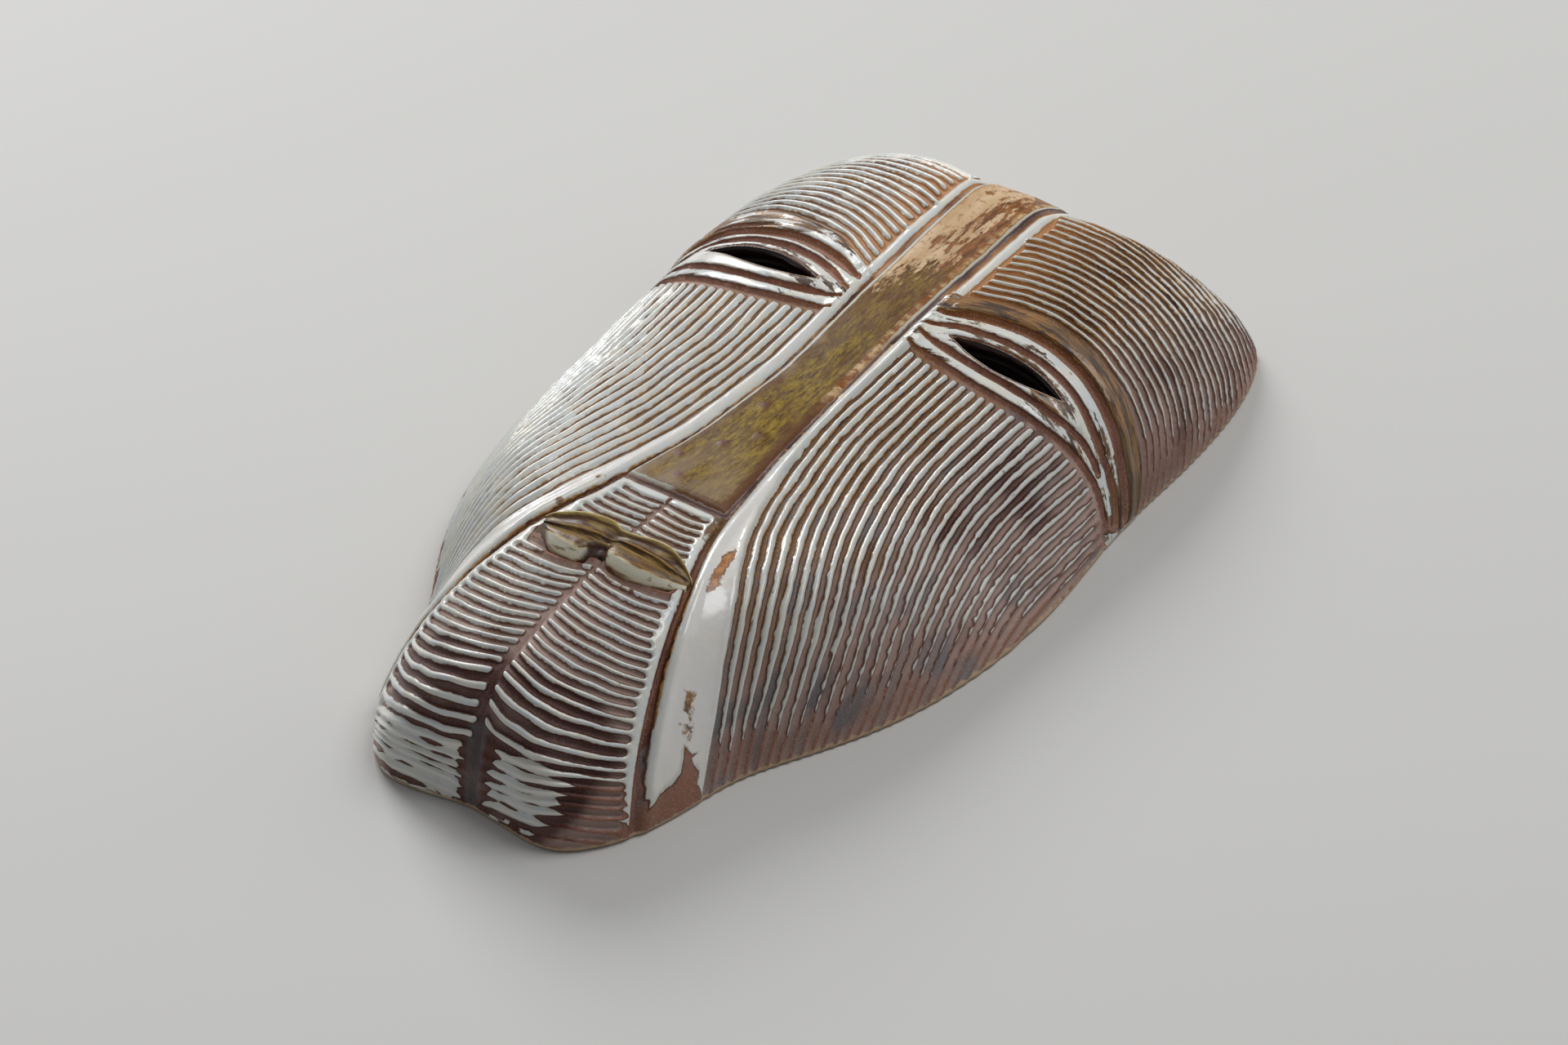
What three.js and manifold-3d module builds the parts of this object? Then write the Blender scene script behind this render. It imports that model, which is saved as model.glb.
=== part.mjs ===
// A wall mask of glazed stoneware, lying on its back rim with the face up.
// Millimetres, +Z out of the face, +Y from the chin to the forehead, +X to the viewer's right.
import * as THREE from "three";
import { mergeVertices } from "three/addons/utils/BufferGeometryUtils.js";
import Module from "manifold-3d";

// Outline of the back rim, one half, from the top of the forehead round to the chin.
const OUTLINE = [
  [0, 151.2],
  [34, 149.5],
  [68.1, 144.9],
  [80.9, 95],
  [80.7, 55],
  [83.8, 15],
  [80.4, -25],
  [68.1, -60],
  [52.4, -90],
  [45.3, -116.1],
  [27.6, -140],
  [0, -138.6],
];
const FOREHEAD_END = 151.2;
const CHIN_END = -138.6;

// The face falls away from a spine: its height along Y, and how sharply it rolls over to the rim.
const SPINE_LOW = -128;
const SPINE_HIGH = 112;
const RIM_SPAN = 150;
const SPINE_HEIGHT = [
  [-128, 39],
  [-105, 42.5],
  [-80, 44.6],
  [-58, 44.4],
  [-20, 40.8],
  [20, 39.6],
  [65, 41.5],
  [112, 41.4],
];
const ROLL_POWER = [
  [-150, 2.25],
  [-75, 4.1],
  [0, 4.3],
  [75, 4],
  [150, 2],
];
const ROLL_ROOT = [
  [-150, 1.69],
  [-75, 1],
  [0, 1],
  [75, 1.88],
  [150, 1.43],
];
const WALL = 7;
const RIM_WIDTH = 7.5;

// The long nose strip widens into the panel round the mouth: half its width along Y.
const STRIP_HALF_WIDTH = [
  [-175, 62],
  [-120, 41],
  [-95, 32.3],
  [-75, 25.8],
  [-55, 19.3],
  [-35, 15.5],
  [-15, 12.6],
  [5, 10.9],
  [30, 9.9],
  [60, 10.1],
  [110, 10.9],
  [180, 10.9],
];
const NOSE_BASE_Y = -43.5;
const NOSE_RISE = 1.6;
const NOSE_RISE_LENGTH = 70;
const BORDER_HALF_WIDTH = 1.4;
const BORDER_DEPTH = 2.2;
const BEAD_OFFSET = 3;
const BEAD_RISE = 0.9;
const BAND_WIDTH = 4.6;

// Combed grooves: depth, half their width as a share of the pitch, and how close to the rim they run out.
const COMB_DEPTH = 1.1;
const COMB_HALF_SHARE = 0.3;
const CARVED_TO = 0.98;
const SURELY_CARVED = { top: 100, low: -80 };
const FADE_FROM = 0.92;

// Each side was combed by hand, so the two sides differ a little.
// firstGroove is the cheek groove next to the nose, as distance from the middle along Y.
const SIDES = {
  right: {
    sign: 1,
    firstGroove: [
      [-110, 76],
      [-85, 51],
      [-75, 43],
      [-65, 36.5],
      [-55, 31.3],
      [-35, 23],
      [-15, 18],
      [5, 15],
      [25, 14.2],
      [50, 15],
    ],
    cheekPitch: 3.24,
    archPeak: 41,
    archCurve: 0.0095,
    browY: 85.3,
    browPitch: 3.22,
    upperLid: [
      [10, 57.3],
      [24, 63.2],
      [42, 65.4],
      [58, 63.6],
      [72, 59.6],
      [84, 57.6],
      [102, 55.6],
    ],
    slit: { inner: [22.4, 58], outer: [58.4, 58.4], top: 61.7, bottom: 53.9 },
  },
  left: {
    sign: -1,
    firstGroove: [
      [-110, 70],
      [-85, 45],
      [-75, 37.5],
      [-65, 32],
      [-55, 28.2],
      [-35, 23],
      [-15, 19],
      [5, 17],
      [25, 15.5],
      [50, 15.6],
    ],
    cheekPitch: 3.44,
    archPeak: 53,
    archCurve: 0.0082,
    browY: 87.7,
    browPitch: 3.4,
    upperLid: [
      [10, 57.3],
      [24, 64.8],
      [42, 68],
      [58, 65.8],
      [72, 60.6],
      [84, 58.2],
      [102, 55.8],
    ],
    slit: { inner: [23, 58.7], outer: [61, 60.6], top: 64.4, bottom: 56.4 },
  },
};
const ARCH_EASE = 35;
const ARCH_FLATTEN = 0.018;
const PITCH_GROWTH = [
  [-110, 1.9],
  [-75, 1.42],
  [-55, 1.22],
  [-35, 1.12],
  [-15, 1.07],
  [5, 1],
  [60, 1],
];
const FIRST_BROW_GROOVE = -1;

// Creases round the eyes that both sides share, as height along Y over distance from the middle.
const CHEEK_TOP = [
  [10, 50.8],
  [24, 47.6],
  [42, 45.6],
  [58, 46.8],
  [72, 49.4],
  [84, 51],
  [102, 51],
];
const LOWER_LID = [
  [10, 56],
  [24, 53],
  [42, 51.4],
  [58, 52.4],
  [72, 54.6],
  [84, 53.8],
  [102, 52.9],
];
const LID_FOLD = [
  [10, 63.4],
  [24, 69.6],
  [42, 72.6],
  [58, 70.8],
  [72, 67],
  [84, 63.4],
  [102, 60],
];
const CREASE_DEPTH = 1.6;
const CREASE_HALF_WIDTH = 1.2;
// Creases pinch together toward the nose and toward the rim: least share of their width, from where.
const PINCH_NOSE = { from: 8, over: 14, least: 0.25 };
const PINCH_RIM = { from: 112, over: 40, least: 0.35 };
const LID_BULGE = { rise: 1.2, middle: 40, reach: 30 };

// Panel round the mouth: bowed grooves either side of a middle groove.
const MOUTH_FIRST_Y = -48.8;
const MOUTH_PITCH = 3.3;
const MOUTH_BOW = 0.016;
const MOUTH_BOW_CENTRE = 0.42;
const CHIN_HALF_WIDTH = 40;
const MIDDLE_GROOVE_DEPTH = 2;
const MIDDLE_GROOVE_HALF_WIDTH = 1.6;
const MOUTH_COMB_DEPTH = 1.1;
const MOUTH_MARGIN = 1.5;

// Lips, laid on the panel: two lobes above the seam and two below it, on each side of the middle.
// share of the way from the middle to a corner, then upper edge, seam, lower edge and height.
const LIP_Y = -72.6;
const LIP_REACH = 23.4;
const LIP_SHAPE = [
  [0, 6, 0.6, -4, 3.2],
  [0.12, 8, 0.5, -7.4, 4.3],
  [0.32, 9.2, 0.2, -10, 5],
  [0.5, 8, 0, -10.2, 5.1],
  [0.7, 5.4, -0.3, -7.8, 4.7],
  [0.88, 2.4, -0.6, -4, 3.7],
  [1, 0.2, -0.8, -1.8, 2.2],
];
// Across the lips from the upper edge: which edge pair it lies between, how far, and share of the height.
const LIP_PROFILE = [
  { part: "upper", at: 0.14, high: 0.6 },
  { part: "upper", at: 0.45, high: 0.95 },
  { part: "upper", at: 0.82, high: 0.86 },
  { part: "upper", at: 1, high: 0.45 },
  { part: "lower", at: 0.16, high: 0.85 },
  { part: "lower", at: 0.5, high: 1 },
  { part: "lower", at: 0.86, high: 0.72 },
];
const LIP_SINK = 3;
const LIP_STEPS = 9;

// Mesh steps.
const ALONG_STEP = 10.5;
const CHEEK_STEP = 15;
const MOUTH_STEP = 8;
const ROUNDED_END = 2;
const RIM_POINTS = 46;
const INNER_RINGS = 4;
const ARC_STEPS = 48;
const BISECTIONS = 26;
const SLOPE_ROUNDS = 60;
const MIRRORED_POINTS = 4;
const NEAR_MIDDLE = 1e-3;
const NEAR_SPINE = 0.02;
const NEAR_ENDS = 0.01;
const NORMAL_STEP = 2e-3;
const SLIT_POINTS = 9;
const SLIT_CLEARANCE = 20;
const SCAN_STEP = 0.5;

const clamp = (value, low, high) => Math.min(Math.max(value, low), high);

// Slopes at knots [x, y]: level at a high or low knot, else taken from the two neighbours.
function plainSlopes(knots) {
  const last = knots.length - 1;
  return knots.map(([, y], i) => {
    const a = knots[Math.max(i - 1, 0)];
    const b = knots[Math.min(i + 1, last)];
    const turns = i > 0 && i < last && (y - a[1]) * (b[1] - y) <= 0;
    return turns ? 0 : (b[1] - a[1]) / (b[0] - a[0]);
  });
}

// Slopes that also make the curvature run on through each knot.
function evenSlopes(knots) {
  const slopes = plainSlopes(knots);
  for (let round = 0; round < SLOPE_ROUNDS; round += 1) {
    for (let i = 1; i < knots.length - 1; i += 1) {
      const before = 1 / (knots[i][0] - knots[i - 1][0]);
      const after = 1 / (knots[i + 1][0] - knots[i][0]);
      const rises = (knots[i][1] - knots[i - 1][1]) * before ** 2;
      const falls = (knots[i + 1][1] - knots[i][1]) * after ** 2;
      const pull = slopes[i - 1] * before + slopes[i + 1] * after;
      slopes[i] = (3 * (rises + falls) - pull) / (2 * (before + after));
    }
  }
  return slopes;
}

// A smooth function through knots [x, y], made of cubic pieces.
function through(knots, slopes = plainSlopes(knots)) {
  const last = knots.length - 1;
  return (x) => {
    const at = clamp(x, knots[0][0], knots[last][0]);
    let i = 0;
    while (i < last - 1 && knots[i + 1][0] < at) i += 1;
    const [x0, y0] = knots[i];
    const [x1, y1] = knots[i + 1];
    const width = x1 - x0;
    const s = (at - x0) / width;
    const rise = y1 - y0;
    const curl = (1 - s) * (slopes[i] * width - rise) - s * (slopes[i + 1] * width - rise);
    return y0 + s * rise + s * (1 - s) * curl;
  };
}

// The outline as x and y over t, 0 at the forehead and 1 at the chin.
function outlineCurve() {
  const mirrored = OUTLINE.map(([x, y]) => [-x, y]).reverse();
  const before = mirrored.slice(-1 - MIRRORED_POINTS, -1);
  const points = [...before, ...OUTLINE, ...mirrored.slice(1, 1 + MIRRORED_POINTS)];
  const reach = [0];
  for (let i = 1; i < points.length; i += 1) {
    const chord = Math.hypot(points[i][0] - points[i - 1][0], points[i][1] - points[i - 1][1]);
    reach.push(reach[i - 1] + Math.sqrt(chord));
  }
  const from = reach[MIRRORED_POINTS];
  const span = reach[reach.length - 1 - MIRRORED_POINTS] - from;
  const curve = (axis) => {
    const knots = points.map((p, i) => [(reach[i] - from) / span, p[axis]]);
    return through(knots, evenSlopes(knots));
  };
  const x = curve(0);
  const y = curve(1);
  return (t) => [x(t), y(t)];
}

const outline = outlineCurve();
const heightAt = through(SPINE_HEIGHT);
const powerAt = through(ROLL_POWER);
const rootAt = through(ROLL_ROOT);
const stripHalfWidth = through(STRIP_HALF_WIDTH);
const pitchGrowth = through(PITCH_GROWTH);

// A ray from the spine to the outline at t.
function rayAt(t) {
  const [x, y] = outline(t);
  const rimY = clamp(y, -RIM_SPAN, RIM_SPAN);
  const share = (rimY + RIM_SPAN) / (2 * RIM_SPAN);
  const spineY = SPINE_LOW + share * (SPINE_HIGH - SPINE_LOW);
  return { x, y, spineY, rimY, length: Math.hypot(x, y - spineY) };
}

// A point of the plain skin on a ray, at r from 0 on the spine to 1 on the rim.
function skinPoint(ray, r) {
  const fall = 1 - Math.pow(clamp(r, 0, 1), powerAt(ray.rimY));
  const z = heightAt(ray.spineY) * Math.pow(Math.max(fall, 0), 1 / rootAt(ray.rimY));
  return new THREE.Vector3(ray.x * r, ray.spineY + (ray.y - ray.spineY) * r, z);
}

// The ray that passes over a place (u across from the middle, y along).
function rayOver(u, y) {
  let low = 0;
  let high = 1;
  for (let i = 0; i < BISECTIONS; i += 1) {
    const middle = (low + high) / 2;
    const ray = rayAt(middle);
    const passes = ray.spineY + ((ray.y - ray.spineY) * u) / Math.max(ray.x, 1e-9);
    if (passes > y) low = middle;
    else high = middle;
  }
  const t = (low + high) / 2;
  return { ...rayAt(t), t };
}

// How far along a ray, measured on the skin, the place r lies, and the reverse.
function skinLength(ray, r) {
  let total = 0;
  let before = skinPoint(ray, 0);
  for (let i = 1; i <= ARC_STEPS; i += 1) {
    const next = skinPoint(ray, (r * i) / ARC_STEPS);
    total += next.distanceTo(before);
    before = next;
  }
  return total;
}
function shareAtLength(ray, length) {
  let total = 0;
  let before = skinPoint(ray, 0);
  for (let i = 1; i <= ARC_STEPS; i += 1) {
    const next = skinPoint(ray, i / ARC_STEPS);
    const step = next.distanceTo(before);
    if (total + step >= length) return (i - 1 + (length - total) / step) / ARC_STEPS;
    total += step;
    before = next;
  }
  return 1;
}

// A place on the skin flattened out along its rays, so that grooves keep their pitch down the sides.
function placeFlat(u, y) {
  const across = Math.max(u, NEAR_MIDDLE);
  const ray = rayOver(across, y);
  return { ray, r: shareAtLength(ray, Math.hypot(across, y - ray.spineY)) };
}
// A place straight above plan coordinates.
function placePlan(u, y) {
  const across = Math.max(u, NEAR_MIDDLE);
  const ray = rayOver(across, y);
  return { ray, r: Math.hypot(across, y - ray.spineY) / ray.length };
}

function skinNormal(ray, r) {
  const near = clamp(r, NEAR_SPINE, 1 - NORMAL_STEP);
  const t = clamp(ray.t, NEAR_ENDS, 1 - NEAR_ENDS);
  const here = rayAt(t);
  const along = skinPoint(rayAt(t - NORMAL_STEP), near).sub(skinPoint(rayAt(t + NORMAL_STEP), near));
  const outward = skinPoint(here, near + NORMAL_STEP).sub(skinPoint(here, near - NORMAL_STEP));
  const normal = outward.cross(along).normalize();
  const spineShare = 1 - clamp(r / NEAR_SPINE, 0, 1);
  return normal.lerp(new THREE.Vector3(0, 0, 1), spineShare).normalize();
}

// Mesh under construction.
const vertices = [];
const triangles = [];

// A vertex at a place, raised by rise, on one side of the face.
function vertex(side, place, rise, onMiddle = false) {
  const fade = clamp((CARVED_TO - place.r) / (CARVED_TO - FADE_FROM), 0, 1);
  const point = skinPoint(place.ray, place.r);
  point.addScaledVector(skinNormal(place.ray, place.r), rise * fade);
  const x = onMiddle ? 0 : point.x;
  vertices.push(side.sign * x, point.y, point.z);
  return vertices.length / 3 - 1;
}

function triangle(side, a, b, c) {
  if (side.sign > 0) triangles.push(a, b, c);
  else triangles.push(a, c, b);
}

// Closes the strip between two lines of vertices that run the same way, by the shorter diagonals.
// Seen from outside on the right half, line b lies to the right of line a.
function zip(side, a, b) {
  const gap = (p, q) => {
    const [dx, dy, dz] = [0, 1, 2].map((axis) => vertices[p * 3 + axis] - vertices[q * 3 + axis]);
    return dx * dx + dy * dy + dz * dz;
  };
  let i = 0;
  let j = 0;
  while (i < a.length - 1 || j < b.length - 1) {
    const aDone = i === a.length - 1;
    const bDone = j === b.length - 1;
    if (bDone || (!aDone && gap(a[i + 1], b[j]) < gap(a[i], b[j + 1]))) {
      triangle(side, a[i], b[j], a[i + 1]);
      i += 1;
    } else {
      triangle(side, a[i], b[j], b[j + 1]);
      j += 1;
    }
  }
}

// The extra height of the nose strip, highest at its base.
function noseRise(y) {
  return NOSE_RISE * clamp((NOSE_BASE_Y + NOSE_RISE_LENGTH - y) / NOSE_RISE_LENGTH, 0, 1);
}

// Where a line beside the strip, offset from its border, meets the carved edge near t = 0 or 1.
function borderLine(side, offset, rise, ys) {
  return ys.map((y) => vertex(side, placePlan(stripHalfWidth(y) + offset, y), rise(y)));
}
function borderEnd(offset, from, toward) {
  let inside = from;
  let outside = toward;
  for (let i = 0; i < BISECTIONS; i += 1) {
    const y = (inside + outside) / 2;
    if (placePlan(stripHalfWidth(y) + offset, y).r < CARVED_TO) inside = y;
    else outside = y;
  }
  return inside;
}
const evenly = (from, to, step) => {
  const count = Math.max(1, Math.round(Math.abs(to - from) / step));
  return Array.from({ length: count + 1 }, (_, i) => from + ((to - from) * i) / count);
};

// A line across the face, from the band beside the nose to the carved edge.
function crossLine(side, curve, rise) {
  const lift = (u) => (typeof rise === "function" ? rise(u) : rise);
  let start = 0;
  for (let i = 0; i < 4; i += 1) {
    const place = placeFlat(start, curve(start));
    const y = skinPoint(place.ray, place.r).y;
    const planStart = placePlan(stripHalfWidth(y) + BAND_WIDTH, y);
    start = flatAcross(planStart);
  }
  let end = start;
  while (placeFlat(end, curve(end)).r < CARVED_TO) end += 1;
  let before = end - 1;
  for (let i = 0; i < BISECTIONS / 2; i += 1) {
    const middle = (before + end) / 2;
    if (placeFlat(middle, curve(middle)).r < CARVED_TO) before = middle;
    else end = middle;
  }
  const us = evenly(start, before, ALONG_STEP);
  if (lift(start) < 0) us.splice(1, 0, start + ROUNDED_END);
  return us.map((u, i) => vertex(side, placeFlat(u, curve(u)), i ? lift(u) : 0));
}
function flatAcross({ ray, r }) {
  return (skinLength(ray, r) * ray.x) / ray.length;
}

// A line down the cheek, k pitches out from its first groove.
function cheekLine(side, k, rise) {
  const first = through(side.firstGroove);
  const across = (y) => first(y) + k * side.cheekPitch * pitchGrowth(y);
  const cheekTop = through(CHEEK_TOP);
  let top = CHEEK_TOP[2][1];
  for (let i = 0; i < 8; i += 1) top = cheekTop(across(top)) - 2 * CREASE_HALF_WIDTH;
  if (placeFlat(across(top), top).r > CARVED_TO) return null;
  let inside = top;
  let outside = top - 1;
  while (placeFlat(across(outside), outside).r < CARVED_TO) {
    inside = outside;
    outside -= 2;
  }
  for (let i = 0; i < BISECTIONS / 2; i += 1) {
    const middle = (inside + outside) / 2;
    if (placeFlat(across(middle), middle).r < CARVED_TO) inside = middle;
    else outside = middle;
  }
  const ys = evenly(inside, top, CHEEK_STEP);
  if (rise < 0) ys.splice(-1, 0, top - ROUNDED_END);
  return ys.map((y, i) => vertex(side, placeFlat(across(y), y), i < ys.length - 1 ? rise : 0));
}

// The rows of the forehead and eye, from the top of the cheek up to the top of the forehead.
function browRows(side) {
  const cheekTop = through(CHEEK_TOP);
  const lowerLid = through(LOWER_LID);
  const upperLid = through(side.upperLid);
  const lidFold = through(LID_FOLD);
  const arch = (u) => {
    const away = u - side.archPeak;
    return (-side.archCurve * away * away) / (1 + Math.max(away, 0) / ARCH_EASE);
  };
  const between = (f, g, share) => (u) => f(u) + (g(u) - f(u)) * share;
  const pinch = (u) => {
    const nose = clamp((u - PINCH_NOSE.from) / PINCH_NOSE.over, PINCH_NOSE.least, 1);
    const rim = clamp((PINCH_RIM.from - u) / PINCH_RIM.over, PINCH_RIM.least, 1);
    return nose * rim;
  };
  const shifted = (f, by) => (u) => f(u) + by * pinch(u);
  const rows = [];
  const crease = (f, depth) => {
    rows.push([shifted(f, -CREASE_HALF_WIDTH), 0]);
    rows.push([f, -depth]);
    rows.push([shifted(f, CREASE_HALF_WIDTH), 0]);
  };
  const lidBulge = (u) => {
    const away = (u - LID_BULGE.middle) / LID_BULGE.reach;
    return LID_BULGE.rise * Math.max(0, 1 - away * away);
  };
  crease(cheekTop, CREASE_DEPTH);
  crease(lowerLid, CREASE_DEPTH);
  rows.push([between(lowerLid, upperLid, 0.5), lidBulge]);
  crease(upperLid, CREASE_DEPTH);
  crease(lidFold, CREASE_DEPTH);
  const browLine = (k) => (u) => side.browY + k * side.browPitch + arch(u) * (1 - ARCH_FLATTEN * k);
  rows.push([between(lidFold, browLine(FIRST_BROW_GROOVE - 0.5), 0.5), BEAD_RISE]);
  for (let k = FIRST_BROW_GROOVE; ; k += 1) {
    const lip = browLine(k + COMB_HALF_SHARE);
    if (placeFlat(side.archPeak, lip(side.archPeak)).r > FADE_FROM) break;
    rows.push([browLine(k - COMB_HALF_SHARE), 0]);
    rows.push([browLine(k), -COMB_DEPTH]);
    rows.push([lip, 0]);
  }
  return rows.map(([curve, rise]) => crossLine(side, curve, rise));
}

// The rows of the panel round the mouth, from the chin up to the nose base.
function mouthRows(side) {
  const rows = [];
  for (let line = 0; ; line += 1) {
    const offset = (line % 3) - 1;
    const k = Math.floor(line / 3) + offset * COMB_HALF_SHARE;
    const y0 = MOUTH_FIRST_Y - k * MOUTH_PITCH;
    const bow = (u) => MOUTH_BOW * (u - MOUTH_BOW_CENTRE * stripHalfWidth(y0)) ** 2;
    const curve = (u) => y0 + bow(u);
    const reachOf = (u) => placeFlat(u, curve(u)).r;
    const furthest = Math.max(reachOf(MIDDLE_GROOVE_HALF_WIDTH), reachOf(MOUTH_BOW_CENTRE * CHIN_HALF_WIDTH));
    if (furthest > CARVED_TO && y0 < SPINE_LOW) break;
    const leaves = (u) => {
      const place = placeFlat(u, curve(u));
      const y = skinPoint(place.ray, place.r).y;
      const inside = stripHalfWidth(y) - BORDER_HALF_WIDTH - MOUTH_MARGIN;
      const border = flatAcross(placePlan(inside, y));
      if (u > border) return "border";
      return place.r > CARVED_TO ? "rim" : "";
    };
    let end = MIDDLE_GROOVE_HALF_WIDTH;
    while (!leaves(end)) end += SCAN_STEP;
    const atRim = leaves(end) === "rim";
    const depth = offset === 0 ? MOUTH_COMB_DEPTH : 0;
    const us = evenly(MIDDLE_GROOVE_HALF_WIDTH, end - SCAN_STEP, MOUTH_STEP);
    if (depth > 0) us.splice(1, 0, us[0] + ROUNDED_END);
    if (depth > 0 && !atRim) us.splice(-1, 0, us[us.length - 1] - ROUNDED_END);
    const last = us.length - 1;
    const cut = (i) => (i === 0 || (i === last && !atRim) ? 0 : -depth);
    rows.unshift({ line: us.map((u, i) => vertex(side, placeFlat(u, curve(u)), cut(i))), atRim });
  }
  return rows;
}

function half(side) {
  const topY = (offset) => borderEnd(offset, SURELY_CARVED.top, FOREHEAD_END);
  const lowY = (offset) => borderEnd(offset, SURELY_CARVED.low, CHIN_END);

  // Nose strip: middle line, half-way line and the inner lip of its border.
  const lipIn = -BORDER_HALF_WIDTH;
  const baseYs = [NOSE_BASE_Y - 2, NOSE_BASE_Y, NOSE_BASE_Y + 2];
  const baseRise = [0, -CREASE_DEPTH, NOSE_RISE];
  const stripYs = evenly(baseYs[2], topY(lipIn), ALONG_STEP);
  const fan = (share, rise) => (y) => {
    const place = placePlan(share * (stripHalfWidth(y) + lipIn), y);
    return vertex(side, place, rise, share === 0);
  };
  const middleTop = topY(-stripHalfWidth(FOREHEAD_END));
  const strip = (share) => {
    const to = share === 1 ? topY(lipIn) : middleTop;
    return evenly(baseYs[2], to, ALONG_STEP).map((y) => fan(share, noseRise(y) * (1 - 0.5 * share))(y));
  };
  const baseRows = baseYs.map((y, i) => {
    const rise = (share) => baseRise[i] * (1 - 0.5 * share);
    return [0, 0.5, 1].map((share) => fan(share, rise(share))(y));
  });
  const stripMiddle = [baseRows[2][0], ...strip(0).slice(1)];
  const stripHalf = [baseRows[2][1], ...strip(0.5).slice(1)];
  const lipUpper = stripYs.slice(1).map((y) => fan(1, noseRise(y) * 0.5)(y));
  const lowLip = evenly(lowY(lipIn), baseYs[0], ALONG_STEP * 0.8);
  const lipLower = borderLine(side, lipIn, () => 0, lowLip.slice(0, -1));
  const innerLip = [...lipLower, baseRows[0][2], baseRows[1][2], baseRows[2][2], ...lipUpper];
  zip(side, stripMiddle, stripHalf);
  zip(side, stripHalf, [baseRows[2][2], ...lipUpper]);
  zip(side, baseRows[2], baseRows[1]);
  zip(side, baseRows[1], baseRows[0]);

  // Border groove and bead beside it.
  const border = (offset, rise) => {
    const ys = evenly(lowY(offset), topY(offset), ALONG_STEP);
    return borderLine(side, offset, () => rise, ys);
  };
  const valley = border(0, -BORDER_DEPTH);
  const outerLip = border(BORDER_HALF_WIDTH, 0);
  const bead = border(BEAD_OFFSET, BEAD_RISE);
  zip(side, innerLip, valley);
  zip(side, valley, outerLip);
  zip(side, outerLip, bead);

  // Mouth panel.
  const panel = mouthRows(side);
  const starts = panel.map((row) => row.line[0]);
  const middleLow = lowY(-stripHalfWidth(CHIN_END));
  const middleYs = evenly(middleLow, baseYs[0], ALONG_STEP);
  const middle = middleYs.slice(0, -1).map((y) => vertex(side, placePlan(0, y), -MIDDLE_GROOVE_DEPTH, true));
  zip(side, [...middle, baseRows[0][0]], starts);
  for (let i = 1; i < panel.length; i += 1) zip(side, panel[i].line, panel[i - 1].line);
  zip(side, baseRows[0], panel[panel.length - 1].line);
  const rimRows = panel.filter((row) => row.atRim);
  const firstInside = rimRows.length - 1;
  const ends = panel.slice(firstInside).map((row) => row.line[row.line.length - 1]);
  zip(side, ends, [...lipLower, baseRows[0][2]]);

  // Forehead, eye and cheek.
  const rows = browRows(side);
  const columns = [];
  for (let line = 0; ; line += 1) {
    const offset = (line % 3) - 1;
    const k = Math.floor(line / 3) + offset * COMB_HALF_SHARE;
    const column = cheekLine(side, k, offset === 0 ? -COMB_DEPTH : 0);
    if (!column) break;
    columns.push(column);
  }
  const tops = columns.map((column) => column[column.length - 1]);
  zip(side, bead, [...columns[0], ...rows.map((row) => row[0])]);
  zip(side, rows[0], tops);
  for (let i = 1; i < rows.length; i += 1) zip(side, rows[i], rows[i - 1]);
  for (let i = 1; i < columns.length; i += 1) zip(side, columns[i - 1], columns[i]);

  // The carved edge, from the chin round to the forehead, closed down to the rim.
  const lastOf = (line) => line[line.length - 1];
  const edge = [
    middle[0],
    ...panel[0].line,
    ...rimRows.slice(1).map((row) => lastOf(row.line)),
    innerLip[0],
    valley[0],
    outerLip[0],
    bead[0],
    ...columns.slice(0, -1).map((column) => column[0]),
    ...lastOf(columns),
    ...rows.slice(0, -1).map(lastOf),
    ...[...lastOf(rows)].reverse(),
    lastOf(bead),
    lastOf(outerLip),
    lastOf(valley),
    lastOf(innerLip),
    lastOf(stripHalf),
    lastOf(stripMiddle),
  ];
  const rimTs = evenly(1, 0, 1 / RIM_POINTS);
  const onMiddle = (t) => t === 0 || t === 1;
  const ring = (r) => rimTs.map((t) => vertex(side, { ray: { ...rayAt(t), t }, r }, 0, onMiddle(t)));
  const rim = ring(1);
  zip(side, edge, rim);

  // The back: the rim's flat underside, and the hollow inside of the face.
  const inner = (t, r) => {
    const ray = rayAt(t);
    const shrink = 1 - RIM_WIDTH / ray.length;
    const outer = skinPoint(ray, r);
    const drop = 1 - WALL / heightAt(ray.spineY);
    const x = onMiddle(t) ? 0 : outer.x * shrink;
    const y = ray.spineY + (outer.y - ray.spineY) * shrink;
    vertices.push(side.sign * x, y, outer.z * drop);
    return vertices.length / 3 - 1;
  };
  const innerRings = [];
  for (let i = 0; i <= INNER_RINGS; i += 1) {
    const r = Math.sin(((1 - i / INNER_RINGS) * Math.PI) / 2);
    innerRings.push(rimTs.map((t) => inner(t, r)));
  }
  zip(side, rim, innerRings[0]);
  for (let i = 1; i < innerRings.length; i += 1) zip(side, innerRings[i - 1], innerRings[i]);
}

half(SIDES.right);
half(SIDES.left);

const wasm = await Module();
wasm.setup();

function solid(geometry) {
  const bare = geometry.clone();
  bare.deleteAttribute("normal");
  bare.deleteAttribute("uv");
  const merged = mergeVertices(bare, 1e-3);
  return new wasm.Manifold(
    new wasm.Mesh({
      numProp: 3,
      vertProperties: new Float32Array(merged.attributes.position.array),
      triVerts: new Uint32Array(merged.index.array),
    }),
  );
}

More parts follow.
